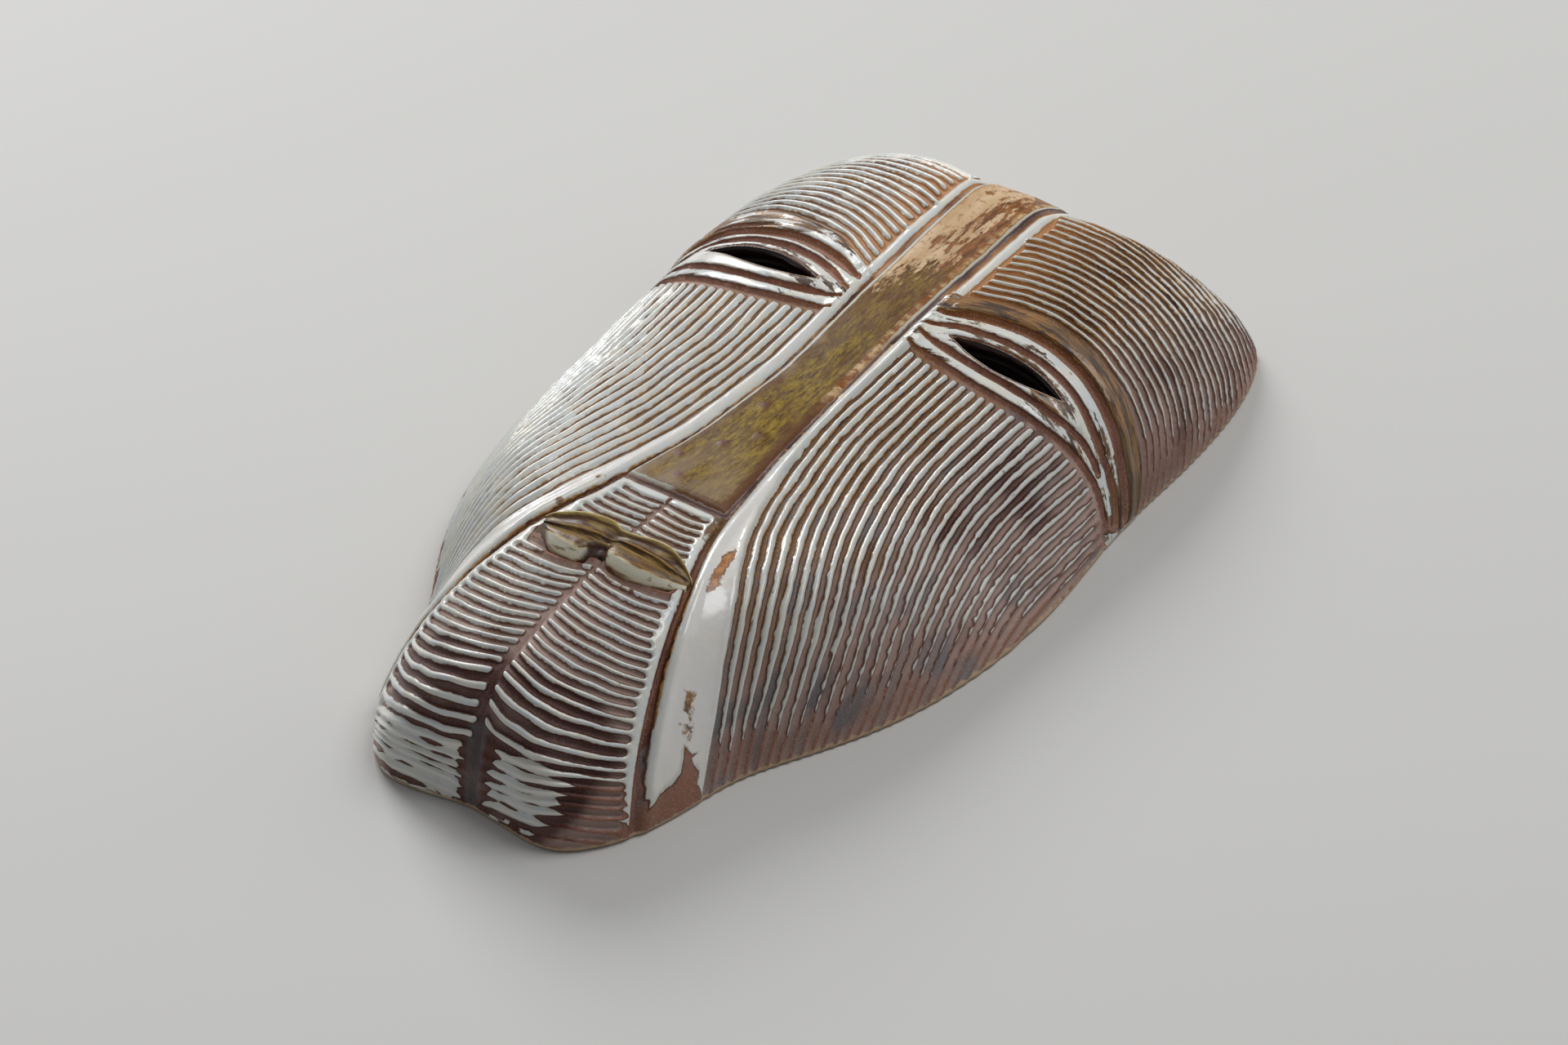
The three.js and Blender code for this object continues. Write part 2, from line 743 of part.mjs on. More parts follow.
// An eye slit: a lens cut straight through the wall.
function slitCutter(side) {
  const { inner, outer, top, bottom } = side.slit;
  const middleY = (inner[1] + outer[1]) / 2;
  const reach = (bulge) => (share) => 4 * share * (1 - share) * bulge;
  const up = reach(top - middleY);
  const down = reach(bottom - middleY);
  const along = (share) => [
    inner[0] + (outer[0] - inner[0]) * share,
    inner[1] + (outer[1] - inner[1]) * share,
  ];
  const shape = new THREE.Shape();
  shape.moveTo(side.sign * inner[0], inner[1]);
  for (let i = 1; i <= SLIT_POINTS; i += 1) {
    const [x, y] = along(i / SLIT_POINTS);
    shape.lineTo(side.sign * x, y + up(i / SLIT_POINTS));
  }
  for (let i = SLIT_POINTS - 1; i > 0; i -= 1) {
    const [x, y] = along(i / SLIT_POINTS);
    shape.lineTo(side.sign * x, y + down(i / SLIT_POINTS));
  }
  const depth = heightAt(middleY) + SLIT_CLEARANCE;
  return new THREE.ExtrudeGeometry(shape, { depth, bevelEnabled: false });
}

// The lips: rings across them from corner to corner, closed at both ends.
function lips() {
  const column = (index) => through(LIP_SHAPE.map((row) => [row[0], row[index]]));
  const [upperEdge, seam, lowerEdge, high] = [1, 2, 3, 4].map(column);
  const ring = (across) => {
    const share = Math.abs(across);
    const x = across * LIP_REACH;
    const edges = { upper: [upperEdge(share), seam(share)], lower: [seam(share), lowerEdge(share)] };
    const point = (offset, rise) => {
      const y = LIP_Y + offset;
      const { ray, r } = placePlan(Math.abs(x), y);
      return [x, y, skinPoint(ray, r).z + rise];
    };
    const over = LIP_PROFILE.map(({ part, at, high: lift }) => {
      const [from, to] = edges[part];
      return point(from + (to - from) * at, lift * high(share));
    });
    return [point(edges.upper[0], -LIP_SINK), ...over, point(edges.lower[1], -LIP_SINK)];
  };
  const rings = evenly(-1, 1, 1 / LIP_STEPS).map(ring);
  const size = rings[0].length;
  const index = [];
  for (let i = 1; i < rings.length; i += 1) {
    for (let j = 0; j < size; j += 1) {
      const [a, b] = [(i - 1) * size + j, (i - 1) * size + ((j + 1) % size)];
      index.push(a, b, a + size, b, b + size, a + size);
    }
  }
  const lastRing = (rings.length - 1) * size;
  for (let j = 1; j < size - 1; j += 1) {
    index.push(0, j + 1, j);
    index.push(lastRing, lastRing + j, lastRing + j + 1);
  }
  const body = new THREE.BufferGeometry();
  body.setAttribute("position", new THREE.Float32BufferAttribute(rings.flat(2), 3));
  body.setIndex(index);
  return body;
}

const shellGeometry = new THREE.BufferGeometry();
shellGeometry.setAttribute("position", new THREE.Float32BufferAttribute(vertices, 3));
shellGeometry.setIndex(triangles);
let shell = solid(shellGeometry);
for (const side of [SIDES.right, SIDES.left]) {
  shell = shell.subtract(solid(slitCutter(side)));
}
shell = shell.add(solid(lips()));

const made = shell.getMesh();
const joined = new THREE.BufferGeometry();
joined.setAttribute("position", new THREE.BufferAttribute(made.vertProperties, 3));
joined.setIndex(new THREE.BufferAttribute(made.triVerts, 1));
const geometry = joined.toNonIndexed();
geometry.computeVertexNormals();
geometry.computeBoundingBox();

const glaze = new THREE.MeshStandardMaterial({ color: 0x9a8c7c, roughness: 0.3, metalness: 0 });
const mask = new THREE.Mesh(geometry, glaze);
mask.name = "mask_shell";
mask.position.y = -(geometry.boundingBox.min.y + geometry.boundingBox.max.y) / 2;

const group = new THREE.Group();
group.add(mask);
export default group;
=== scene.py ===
# %% [markdown]
# # A combed stoneware wall mask
# This lesson dresses a plain CAD shell as a fired and glazed clay mask. The mask is one piece of clay: a
# long hollow face, scored with a comb, with lips laid on it. It lies on its back rim and looks up. All
# lengths are written in millimetres, as a potter would measure them, and are turned to metres only when a
# mesh is filled. The frame is loaded first, because everything stands where the CAD says.

# %% Load the frame
import math

import bmesh
import bpy
import numpy as np
from mathutils import Matrix, Vector


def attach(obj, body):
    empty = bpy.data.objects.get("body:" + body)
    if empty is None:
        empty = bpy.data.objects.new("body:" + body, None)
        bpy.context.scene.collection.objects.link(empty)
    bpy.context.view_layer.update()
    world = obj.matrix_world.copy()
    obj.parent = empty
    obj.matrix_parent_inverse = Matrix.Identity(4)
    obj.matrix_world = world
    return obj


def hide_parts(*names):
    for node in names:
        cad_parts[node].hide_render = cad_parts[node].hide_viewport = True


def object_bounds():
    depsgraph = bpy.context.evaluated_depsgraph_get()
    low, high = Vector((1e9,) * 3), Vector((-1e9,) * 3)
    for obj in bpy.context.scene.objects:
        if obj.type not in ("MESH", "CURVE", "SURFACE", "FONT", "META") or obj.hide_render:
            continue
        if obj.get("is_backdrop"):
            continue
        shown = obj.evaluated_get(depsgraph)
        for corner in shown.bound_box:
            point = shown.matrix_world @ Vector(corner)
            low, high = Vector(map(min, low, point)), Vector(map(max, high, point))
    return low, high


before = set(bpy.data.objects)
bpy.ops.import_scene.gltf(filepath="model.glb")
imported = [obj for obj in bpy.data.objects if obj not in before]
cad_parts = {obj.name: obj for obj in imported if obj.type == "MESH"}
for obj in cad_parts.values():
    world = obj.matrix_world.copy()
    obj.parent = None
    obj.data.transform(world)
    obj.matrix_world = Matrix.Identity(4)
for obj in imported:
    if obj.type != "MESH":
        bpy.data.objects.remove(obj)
cad_low, cad_high = (np.array(corner) * 1000 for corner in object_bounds())
MM = 0.001
print("CAD box in mm:", cad_low.round(1), cad_high.round(1))

# %% [markdown]
# ## Camera
# The mask was seen from its chin end and from its left, with a long lens, so it shows almost no
# perspective. A camera looks down its own -Z, so its matrix is built from three directions: right, up and
# back. The long lens is written as the pixels that one millimetre covers at the mask, times the distance.

# %% The camera
IMAGE_WIDTH_PX = 1920
PIXELS_PER_MM = 4.445
DISTANCE = 2362.8
AZIMUTH = math.radians(34.25)
ELEVATION = math.radians(39.622)
CARVING_MIDDLE_Y = 5.114
LOOKED_AT = Vector((1.319, 6.744 - CARVING_MIDDLE_Y, 0))

right = Vector((math.cos(AZIMUTH), math.sin(AZIMUTH), 0))
ahead = Vector(
    (
        -math.sin(AZIMUTH) * math.cos(ELEVATION),
        math.cos(AZIMUTH) * math.cos(ELEVATION),
        -math.sin(ELEVATION),
    )
)
up = right.cross(ahead)
camera_data = bpy.data.cameras.new("camera")
camera_data.sensor_width = 36
camera_data.lens = PIXELS_PER_MM * DISTANCE * camera_data.sensor_width / IMAGE_WIDTH_PX
camera_data.clip_end = 20
camera = bpy.data.objects.new("camera", camera_data)
turn = Matrix((right, up, -ahead)).transposed()
camera.matrix_world = Matrix.Translation((LOOKED_AT - ahead * DISTANCE) * MM) @ turn.to_4x4()
bpy.context.collection.objects.link(camera)
bpy.context.scene.camera = camera
print("lens:", round(camera_data.lens, 1), "mm")

# %% [markdown]
# ## Smooth curves through a few knots
# The outline, the height of the face and every crease are given by a few measured knots. A cubic piece
# between two knots needs a slope at each. Plain slopes come from the neighbours and are level at a high
# or low knot, so the curve never bulges past them. Even slopes also keep the curvature going, which suits
# a round outline.


# %% Curves
def plain_slopes(xs, ys):
    """Slope at every knot, from its neighbours; level at a high or low one."""
    steps = np.diff(ys) / np.diff(xs)
    slopes = np.concatenate(([steps[0]], (ys[2:] - ys[:-2]) / (xs[2:] - xs[:-2]), [steps[-1]]))
    slopes[1:-1][steps[:-1] * steps[1:] <= 0] = 0
    return slopes


def even_slopes(xs, ys):
    """Slopes that also keep the curvature going from piece to piece."""
    gaps = np.diff(xs)
    steps = np.diff(ys) / gaps
    slopes = plain_slopes(xs, ys)
    pull = np.eye(len(xs))
    aim = slopes.copy()
    for i in range(1, len(xs) - 1):
        pull[i, i - 1 : i + 2] = 1 / gaps[i - 1], 2 / gaps[i - 1] + 2 / gaps[i], 1 / gaps[i]
        aim[i] = 3 * (steps[i - 1] / gaps[i - 1] + steps[i] / gaps[i])
    return np.linalg.solve(pull, aim)


def through(knots, slopes_of=plain_slopes):
    """A smooth curve through the knots (x, y), level beyond both ends."""
    xs, ys = np.array(knots, float).T
    slopes = slopes_of(xs, ys)

    def curve(x):
        x = np.clip(x, xs[0], xs[-1])
        i = np.clip(np.searchsorted(xs, x, side="right") - 1, 0, len(xs) - 2)
        width = xs[i + 1] - xs[i]
        share = (x - xs[i]) / width
        rise = ys[i + 1] - ys[i]
        curl = (1 - share) * (slopes[i] * width - rise) - share * (slopes[i + 1] * width - rise)
        return ys[i] + share * rise + share * (1 - share) * curl

    return curve


def step(low, high, x):
    """0 at low, 1 at high, smooth between; low may be the larger."""
    s = np.clip((x - low) / (high - low), 0, 1)
    return s * s * (3 - 2 * s)


# %% [markdown]
# ## The form of the face
# The rim lies in one plane and has this outline, given for one half from the forehead round to the chin.
# The face is swept from a spine over its middle: each ray runs from the spine to the rim, flat at first,
# and rolls over near the rim. Two numbers say how sharply it rolls, and they change along the mask.

# %% Outline, spine and roll
OUTLINE = [
    (0, 151.2), (34, 149.5), (68.1, 144.9), (80.9, 95), (80.7, 55), (83.8, 15),
    (80.4, -25), (68.1, -60), (52.4, -90), (45.3, -116.1), (27.6, -140), (0, -138.6),
]
SPINE_LOW, SPINE_HIGH, RIM_SPAN = -128, 112, 150
spine_height = through(
    [(-128, 39), (-105, 42.5), (-80, 44.6), (-58, 44.4), (-20, 40.8), (20, 39.6), (65, 41.5), (112, 41.4)]
)
roll_power = through([(-150, 2.25), (-75, 4.1), (0, 4.3), (75, 4), (150, 2)])
roll_root = through([(-150, 1.69), (-75, 1), (0, 1), (75, 1.88), (150, 1.43)])
WALL, RIM_WIDTH, RIM_ROUNDING = 7, 7.5, 1.3


def outline_curve():
    """The half outline of the rim, for t from 0 at the forehead to 1 at the chin."""
    half = np.array(OUTLINE, float)
    mirrored = (half * (-1, 1))[::-1]
    points = np.vstack((mirrored[-5:-1], half, mirrored[1:5]))
    reach = np.concatenate(([0], np.cumsum(np.sqrt(np.linalg.norm(np.diff(points, axis=0), axis=1)))))
    share = (reach - reach[4]) / (reach[-5] - reach[4])
    across = through(np.column_stack((share, points[:, 0])), even_slopes)
    along = through(np.column_stack((share, points[:, 1])), even_slopes)
    return lambda t: (across(t), along(t))


outline = outline_curve()
print("half width at the cheeks:", round(float(outline(np.linspace(0, 1, 500))[0].max()), 1), "mm")

# %% [markdown]
# The rays are spaced by what is scored on them. Where the comb runs across the rays, as on the forehead
# and the chin, they stand close, and on the upper cheeks, where it runs along with them, they can stand
# apart. Along a ray the points keep one distance on the skin, so a groove near the steep rim gets as many
# as one on top.


# %% The net of rays and rings
def spacing(x, y):
    """Wanted distance between rays at the rim, in mm."""
    top = np.where(x < 34, 0.7, 1.2)
    side = np.where(y > 42, 0.56, np.where(y > -5, 1.5, np.where(y > -45, 1.0, 0.68)))
    chin = np.where((y < -139) & (x < 27), 0.9, side)
    return np.where(y > 146, top, chin) * 1


fine = np.linspace(0, 1, 6001)
fine_x, fine_y = outline(fine)
rim_step = np.hypot(np.diff(fine_x), np.diff(fine_y)) / spacing(fine_x, fine_y)[1:]
count = np.concatenate(([0], np.cumsum(rim_step)))
RAYS = int(round(count[-1]))
RINGS = 168
t = np.interp(np.linspace(0, count[-1], RAYS), count, fine)
rim_x, rim_y = outline(t)
rim_x[[0, -1]] = 0
held_y = np.minimum.accumulate(np.clip(rim_y, -RIM_SPAN, RIM_SPAN))
spine_y = SPINE_LOW + (held_y + RIM_SPAN) / (2 * RIM_SPAN) * (SPINE_HIGH - SPINE_LOW)
ray_length = np.hypot(rim_x, rim_y - spine_y)
power, root = roll_power(held_y)[:, None], roll_root(held_y)[:, None]
height = spine_height(spine_y)[:, None]


def skin(r):
    """Points of the plain skin, one row a ray, at shares r of the way from the spine to the rim."""
    x = rim_x[:, None] * r
    y = spine_y[:, None] + (rim_y - spine_y)[:, None] * r
    z = height * np.clip(1 - r**power, 0, 1) ** (1 / root)
    return np.stack((x, y, z), axis=-1)


table_r = np.sin(np.linspace(0, math.pi / 2, 241))[None, :].repeat(RAYS, axis=0)
table_steps = np.linalg.norm(np.diff(skin(table_r), axis=1), axis=-1)
table_length = np.concatenate((np.zeros((RAYS, 1)), np.cumsum(table_steps, axis=1)), axis=1)
ring_r = np.empty((RAYS, RINGS))
for i in range(RAYS):
    even = np.linspace(0, table_length[i, -1], RINGS)
    ring_r[i] = np.interp(even, table_length[i], table_r[i])
ring_length = np.linspace(0, 1, RINGS)[None, :] * table_length[:, -1:]
rim_gap = table_length[:, -1:] - ring_length
base = skin(ring_r)
print(RAYS, "rays and", RINGS, "rings a side;", round(float(ring_length[:, 1].mean()), 2), "mm apart")

# %% [markdown]
# A comb keeps its pitch on the clay, not on a drawing seen from above. So every point also gets a flat
# place: its ray as seen from above, but with the distance measured on the skin. The grooves are set out
# there.

# %% Flat places and outward directions
toward = np.stack((rim_x, rim_y - spine_y), axis=-1) / ray_length[:, None]
flat_x = ring_length * toward[:, :1]
flat_y = spine_y[:, None] + ring_length * toward[:, 1:]

ray_way = np.gradient(base, axis=0)
ring_way = np.gradient(base, axis=1)
outward = np.cross(ray_way, ring_way)
outward *= np.sign(outward[..., 2:] + 1e-9)
outward /= np.linalg.norm(outward, axis=-1, keepdims=True) + 1e-9
near_spine = np.clip(1 - ring_r / 0.02, 0, 1)[..., None]
outward = outward * (1 - near_spine) + np.array((0, 0, 1)) * near_spine
outward /= np.linalg.norm(outward, axis=-1, keepdims=True)

# %% [markdown]
# ## What is scored into the clay
# A straight strip, the nose, runs down the middle and opens out into a panel round the mouth. A scored
# border with a bead of white glaze beside it goes down both sides. Beyond it the comb went down the
# cheeks and in arches over the forehead, and four creases draw each eye. The two sides were made by hand
# and differ a little. Right and left are meant as in a picture of the mask with its chin down.

# %% Measured carving
strip_half_width = through(
    [(-175, 62), (-120, 41), (-95, 32.3), (-75, 25.8), (-55, 19.3), (-35, 15.5), (-15, 12.6),
     (5, 10.9), (30, 9.9), (60, 10.1), (110, 10.9), (180, 10.9)]
)
NOSE_BASE_Y = -43.5
border_half_width = through(
    [(-175, 1.35), (-62, 1.25), (-44, 0.95), (-20, 0.62), (40, 0.6), (70, 0.8), (180, 0.9)]
)
BEAD_OFFSET, BEAD_HALF, BEAD_RISE = 2.9, 1.55, 0.9
mouth_line_half = through([(-160, 1.5), (-125, 1.3), (-100, 0.9), (-84, 0.6), (-45, 0.6)])
COMB_DEPTH, COMB_HALF_SHARE = 1.1, 0.3
FADE_MM = 6.5
ARCH_EASE, ARCH_FLATTEN = 35, 0.018
GROWTH_FROM, GROWTH_SPAN, GROWTH = 15, 125, 0.9
cheek_top = through([(10, 50.8), (24, 47.6), (42, 45.6), (58, 46.8), (72, 49.4), (84, 51), (102, 51)])
lower_lid = through([(10, 56), (24, 53), (42, 51.4), (58, 52.4), (72, 54.6), (84, 53.8), (102, 52.9)])
lid_fold = through([(10, 63.4), (24, 69.6), (42, 72.6), (58, 70.8), (72, 67), (84, 63.4), (102, 60)])
mouth_row = through(
    [(-175, 34.6), (-150, 28.7), (-135, 25.2), (-125, 22.87), (-118, 20.97), (-80, 9.455),
     (-48.8, 0), (-40, -2.667)]
)

RIGHT = dict(
    sign=1,
    first_groove=through(
        [(-110, 76), (-85, 51), (-75, 43), (-65, 36.5), (-55, 31.3), (-35, 23),
         (-15, 18), (5, 15), (25, 14.2), (50, 15)]
    ),
    cheek_pitch=3.24,
    arch_peak=41,
    arch_curve=0.0095,
    brow_y=85.3,
    brow_pitch=3.22,
    upper_lid=through(
        [(10, 57.3), (24, 63.2), (42, 65.4), (58, 63.6), (72, 59.6), (84, 57.6), (102, 55.6)]
    ),
    slit=((22.4, 58), (58.4, 58.4), 61.7, 53.9),
    brow_gap=6.6,
    wedges=(),
    row_centre=through(
        [(-165, -12), (-152, 2), (-144, 9), (-136, 14), (-95, 13.6), (-75, 10.8), (-48, 6.6)]
    ),
    row_bow=through(
        [(-165, 0.006), (-152, 0.0095), (-144, 0.0125), (-136, 0.0158), (-120, 0.017), (-48, 0.016)]
    ),
)
LEFT = dict(
    sign=-1,
    first_groove=through(
        [(-110, 70), (-85, 45), (-75, 37.5), (-65, 32), (-55, 28.2), (-35, 23),
         (-15, 19), (5, 17), (25, 15.5), (50, 15.6)]
    ),
    cheek_pitch=3.44,
    arch_peak=53,
    arch_curve=0.0082,
    brow_y=87.7,
    brow_pitch=3.4,
    upper_lid=through(
        [(10, 57.3), (24, 64.8), (42, 68), (58, 65.8), (72, 60.6), (84, 58.2), (102, 55.8)]
    ),
    slit=((23, 58.7), (61, 60.6), 64.4, 56.4),
    brow_gap=6.0,
    wedges=(((46.5, 75.6), (72, 72.2), 1.5), ((54, 71.7), (72, 66.4), 1.4)),
    row_centre=through(
        [(-165, -30), (-152, -6), (-145, 3), (-136, 10), (-125, 13), (-95, 13.6), (-75, 10.8), (-48, 6.6)]
    ),
    row_bow=through(
        [(-165, 0.0035), (-150, 0.0047), (-145, 0.0062), (-136, 0.0105), (-125, 0.013), (-95, 0.016)]
    ),
)
print("comb pitch on the cheeks:", RIGHT["cheek_pitch"], "and", LEFT["cheek_pitch"], "mm")

# %% [markdown]
# Hand work wanders. A few long waves, laid in chosen directions, give a smooth wandering that is the same
# each time, and that costs almost nothing on two hundred thousand points.


# %% Wandering
def wander(x, y, size, seed):
    """A smooth number near 0, mostly within 1, that changes over about size mm."""
    chance = np.random.default_rng(seed)
    total = 0
    for _ in range(6):
        way = chance.uniform(0, 2 * math.pi)
        wave = 2 * math.pi / (size * chance.uniform(0.7, 1.5))
        total = total + np.sin(wave * (np.cos(way) * x + np.sin(way) * y) + chance.uniform(0, 7))
    return total / 2.4


# %% [markdown]
# The next function answers, for any places on the skin, which field they lie in and how far they are from
# the nearest comb groove and the nearest scored line. Negative distances lie inside a groove. The relief
# is cut from these distances, and the glaze is painted from them too, so that colour and carving agree
# everywhere.

# %% Fields of the face
STRIP, CHEEK, BROW, MOUTH, INSIDE = 0, 1, 2, 3, 4
FAR_OUTSIDE, FAR_INSIDE = -9.0, 9.0
TIP_GAP, ROW_END_GAP, NO_PITCH = 2.9, 4.8, 3.0


def field_of(place):
    """Which field of the face each place lies in."""
    X, Y, u, y = (place[key] for key in ("X", "Y", "u", "y"))
    inner = u < strip_half_width(y)
    middle = np.where(y > NOSE_BASE_Y, STRIP, MOUTH)
    outer = np.where(Y > cheek_top(X), BROW, CHEEK)
    return np.where(place["inside"], INSIDE, np.where(inner, middle, outer))


def comb_of(side, place, field):
    """Comb phase, its pitch, and how far past the end of the ridges or of the grooves a place lies."""
    X, Y, u, y = (place[key] for key in ("X", "Y", "u", "y"))
    s = side["sign"]
    half = strip_half_width(y)
    shake = 0.045 * wander(s * X, Y, 26, 3) + 0.03 * wander(s * X, Y, 9, 4)
    cheek_step = side["cheek_pitch"] * (1 + GROWTH * (np.maximum(GROWTH_FROM - Y, 0) / GROWTH_SPAN) ** 2)
    cheek = (X - side["first_groove"](Y)) / cheek_step
    away = X - side["arch_peak"]
    arch = -side["arch_curve"] * away**2 / (1 + np.maximum(away, 0) / ARCH_EASE)
    brow = (Y - side["brow_y"] - arch) / (side["brow_pitch"] - ARCH_FLATTEN * arch) + 1
    start = Y
    for _ in range(6):
        bowed = Y - side["row_bow"](start) * (X - side["row_centre"](start)) ** 2
        start = np.clip(0.3 * start + 0.7 * bowed, -174, -41)
    mouth = mouth_row(start)
    mouth_step = 1 / (mouth_row(start - 0.5) - mouth_row(start + 0.5))
    cheek_tip = np.where(cheek > 0, Y - cheek_top(X) + TIP_GAP, FAR_OUTSIDE)
    brow_tip = half + side["brow_gap"] + wander(Y, Y, 7, 5) - u
    brow_tip = np.where(brow > 0, brow_tip, FAR_OUTSIDE)
    mouth_tip = mouth_line_half(y) + 1.0 + 0.4 * wander(Y, s * 3, 8, 6) - u
    mouth_tip = np.where(mouth > -0.3, mouth_tip, FAR_OUTSIDE)
    row_end = u - half + ROW_END_GAP + 0.5 * wander(Y, s * 5, 8, 8)
    kind = np.minimum(field, MOUTH)
    phase = np.choose(kind, (FAR_OUTSIDE, cheek, brow, mouth))
    pitch = np.choose(kind, (NO_PITCH, cheek_step, side["brow_pitch"], mouth_step))
    past_ridge = np.choose(kind, (FAR_OUTSIDE, cheek_tip, brow_tip, mouth_tip))
    past_groove = np.where(field == MOUTH, row_end, FAR_OUTSIDE)
    return phase + shake, pitch, past_ridge, past_groove


def comb_distance(phase, pitch, past_ridge, past_groove):
    """Distance to the nearest comb groove, negative inside it."""
    near = np.where(phase < 0, 0, np.round(phase))
    off = np.abs(phase - near) * pitch
    groove_half = COMB_HALF_SHARE * pitch
    ridge_half = 0.5 * pitch - groove_half
    to_ridge = np.clip(0.5 * pitch - off, 0, None)
    around_end = np.hypot(off, np.maximum(past_groove, 0)) - groove_half
    around_tip = ridge_half - np.hypot(to_ridge, np.maximum(past_ridge, 0))
    return np.where(past_ridge > 0, around_tip, around_end)


# %% [markdown]
# A scored line is a curve with a half width. The distance to it is taken along Y and shortened by the
# slope, which is close enough for lines that are never steep. Creases pinch together toward the nose and
# toward the rim.


# %% Scored lines and the eye
CREASE_START = 2.2


def crease_distance(curve, half_width, place, low=-1e3, high=1e3):
    """Distance to a crease that is cut along a curve."""
    X, Y = place["X"], place["Y"]
    slope = curve(X + 0.5) - curve(X - 0.5)
    gap = np.abs(Y - curve(X)) / np.sqrt(1 + slope**2)
    past = np.maximum(np.maximum(low - X, X - high), 0)
    pinch = np.clip((X - 8) / 14, 0.5, 1) * np.clip((112 - X) / 40, 0.45, 1)
    return np.hypot(gap, past) - half_width * pinch


def wedge_distance(place, start, end, widest):
    """Distance to a knife cut that grows from a point at start to its full width at end."""
    (x0, y0), (x1, y1) = start, end
    long = math.hypot(x1 - x0, y1 - y0)
    along = ((place["X"] - x0) * (x1 - x0) + (place["Y"] - y0) * (y1 - y0)) / long
    across = ((place["Y"] - y0) * (x1 - x0) - (place["X"] - x0) * (y1 - y0)) / long
    beyond = np.maximum(np.maximum(-along, along - long), 0)
    return np.hypot(across, beyond) - widest * np.clip(along / long, 0, 1) ** 0.7


def slit_distance(side, place):
    """How far inside the eye slit a place lies, seen from above."""
    (x0, y0), (x1, y1), top, bottom = side["slit"]
    share = (place["u"] - x0) / (x1 - x0)
    middle = (y0 + y1) / 2
    chord = y0 + (y1 - y0) * share
    bulge = 4 * share * (1 - share)
    over = place["y"] - chord
    return np.minimum(bulge * (top - middle) - over, over - bulge * (bottom - middle))


def cuts_of(side, place):
    """Distance to the nearest scored line."""
    u, y = place["u"], place["y"]
    half = strip_half_width(y)
    border = np.abs(u - half) - border_half_width(y)
    eye = np.minimum.reduce(
        [
            crease_distance(cheek_top, 1.3, place, high=94),
            crease_distance(lower_lid, 1.15, place, high=80),
            crease_distance(side["upper_lid"], 1.35, place, high=96),
            crease_distance(lid_fold, 1.8, place, high=97),
        ]
    )
    eye = np.where(u > half + CREASE_START, eye, FAR_INSIDE)
    base_line = np.where(u < half, np.abs(y - NOSE_BASE_Y) - 1.0, FAR_INSIDE)
    groove = np.where(y < NOSE_BASE_Y, u - mouth_line_half(y), FAR_INSIDE)
    wedges = [wedge_distance(place, *wedge) for wedge in side["wedges"]]
    return np.minimum.reduce([border, eye, base_line, groove, *wedges])


# %% [markdown]
# ## Cutting the relief
# The relief is the height that is added along the outward direction. The deeper cut wins where two meet.
# The nose strip stands a little proud at its base, the lids bulge, the beads stand up, a few blisters
# rise on the nose, and a dry tool left fine scratches over the lids. All of it runs out at the rim.

# %% Relief
BLISTERS = ((-4, 5), (-3.4, -16), (-10, -27), (-4, -36), (3, -8))
BLISTER_RISE, BLISTER_SIZE = 0.5, 1.3
SCRATCH_PITCH, SCRATCH_DEPTH = 1.7, 0.22
SCORED_DEPTH, SLIT_EDGE_DEPTH = 1.65, 0.8
CROWN_RISE, LID_RISE, FOLD_RISE = 0.22, 1.2, 0.7
NOSE_STEP, NOSE_STEP_LENGTH = 1.6, 70


def lid_marks(side, place):
    """How far above the lid fold and how far outside the eye slit a place lies."""
    return place["Y"] - lid_fold(place["X"]), -slit_distance(side, place)


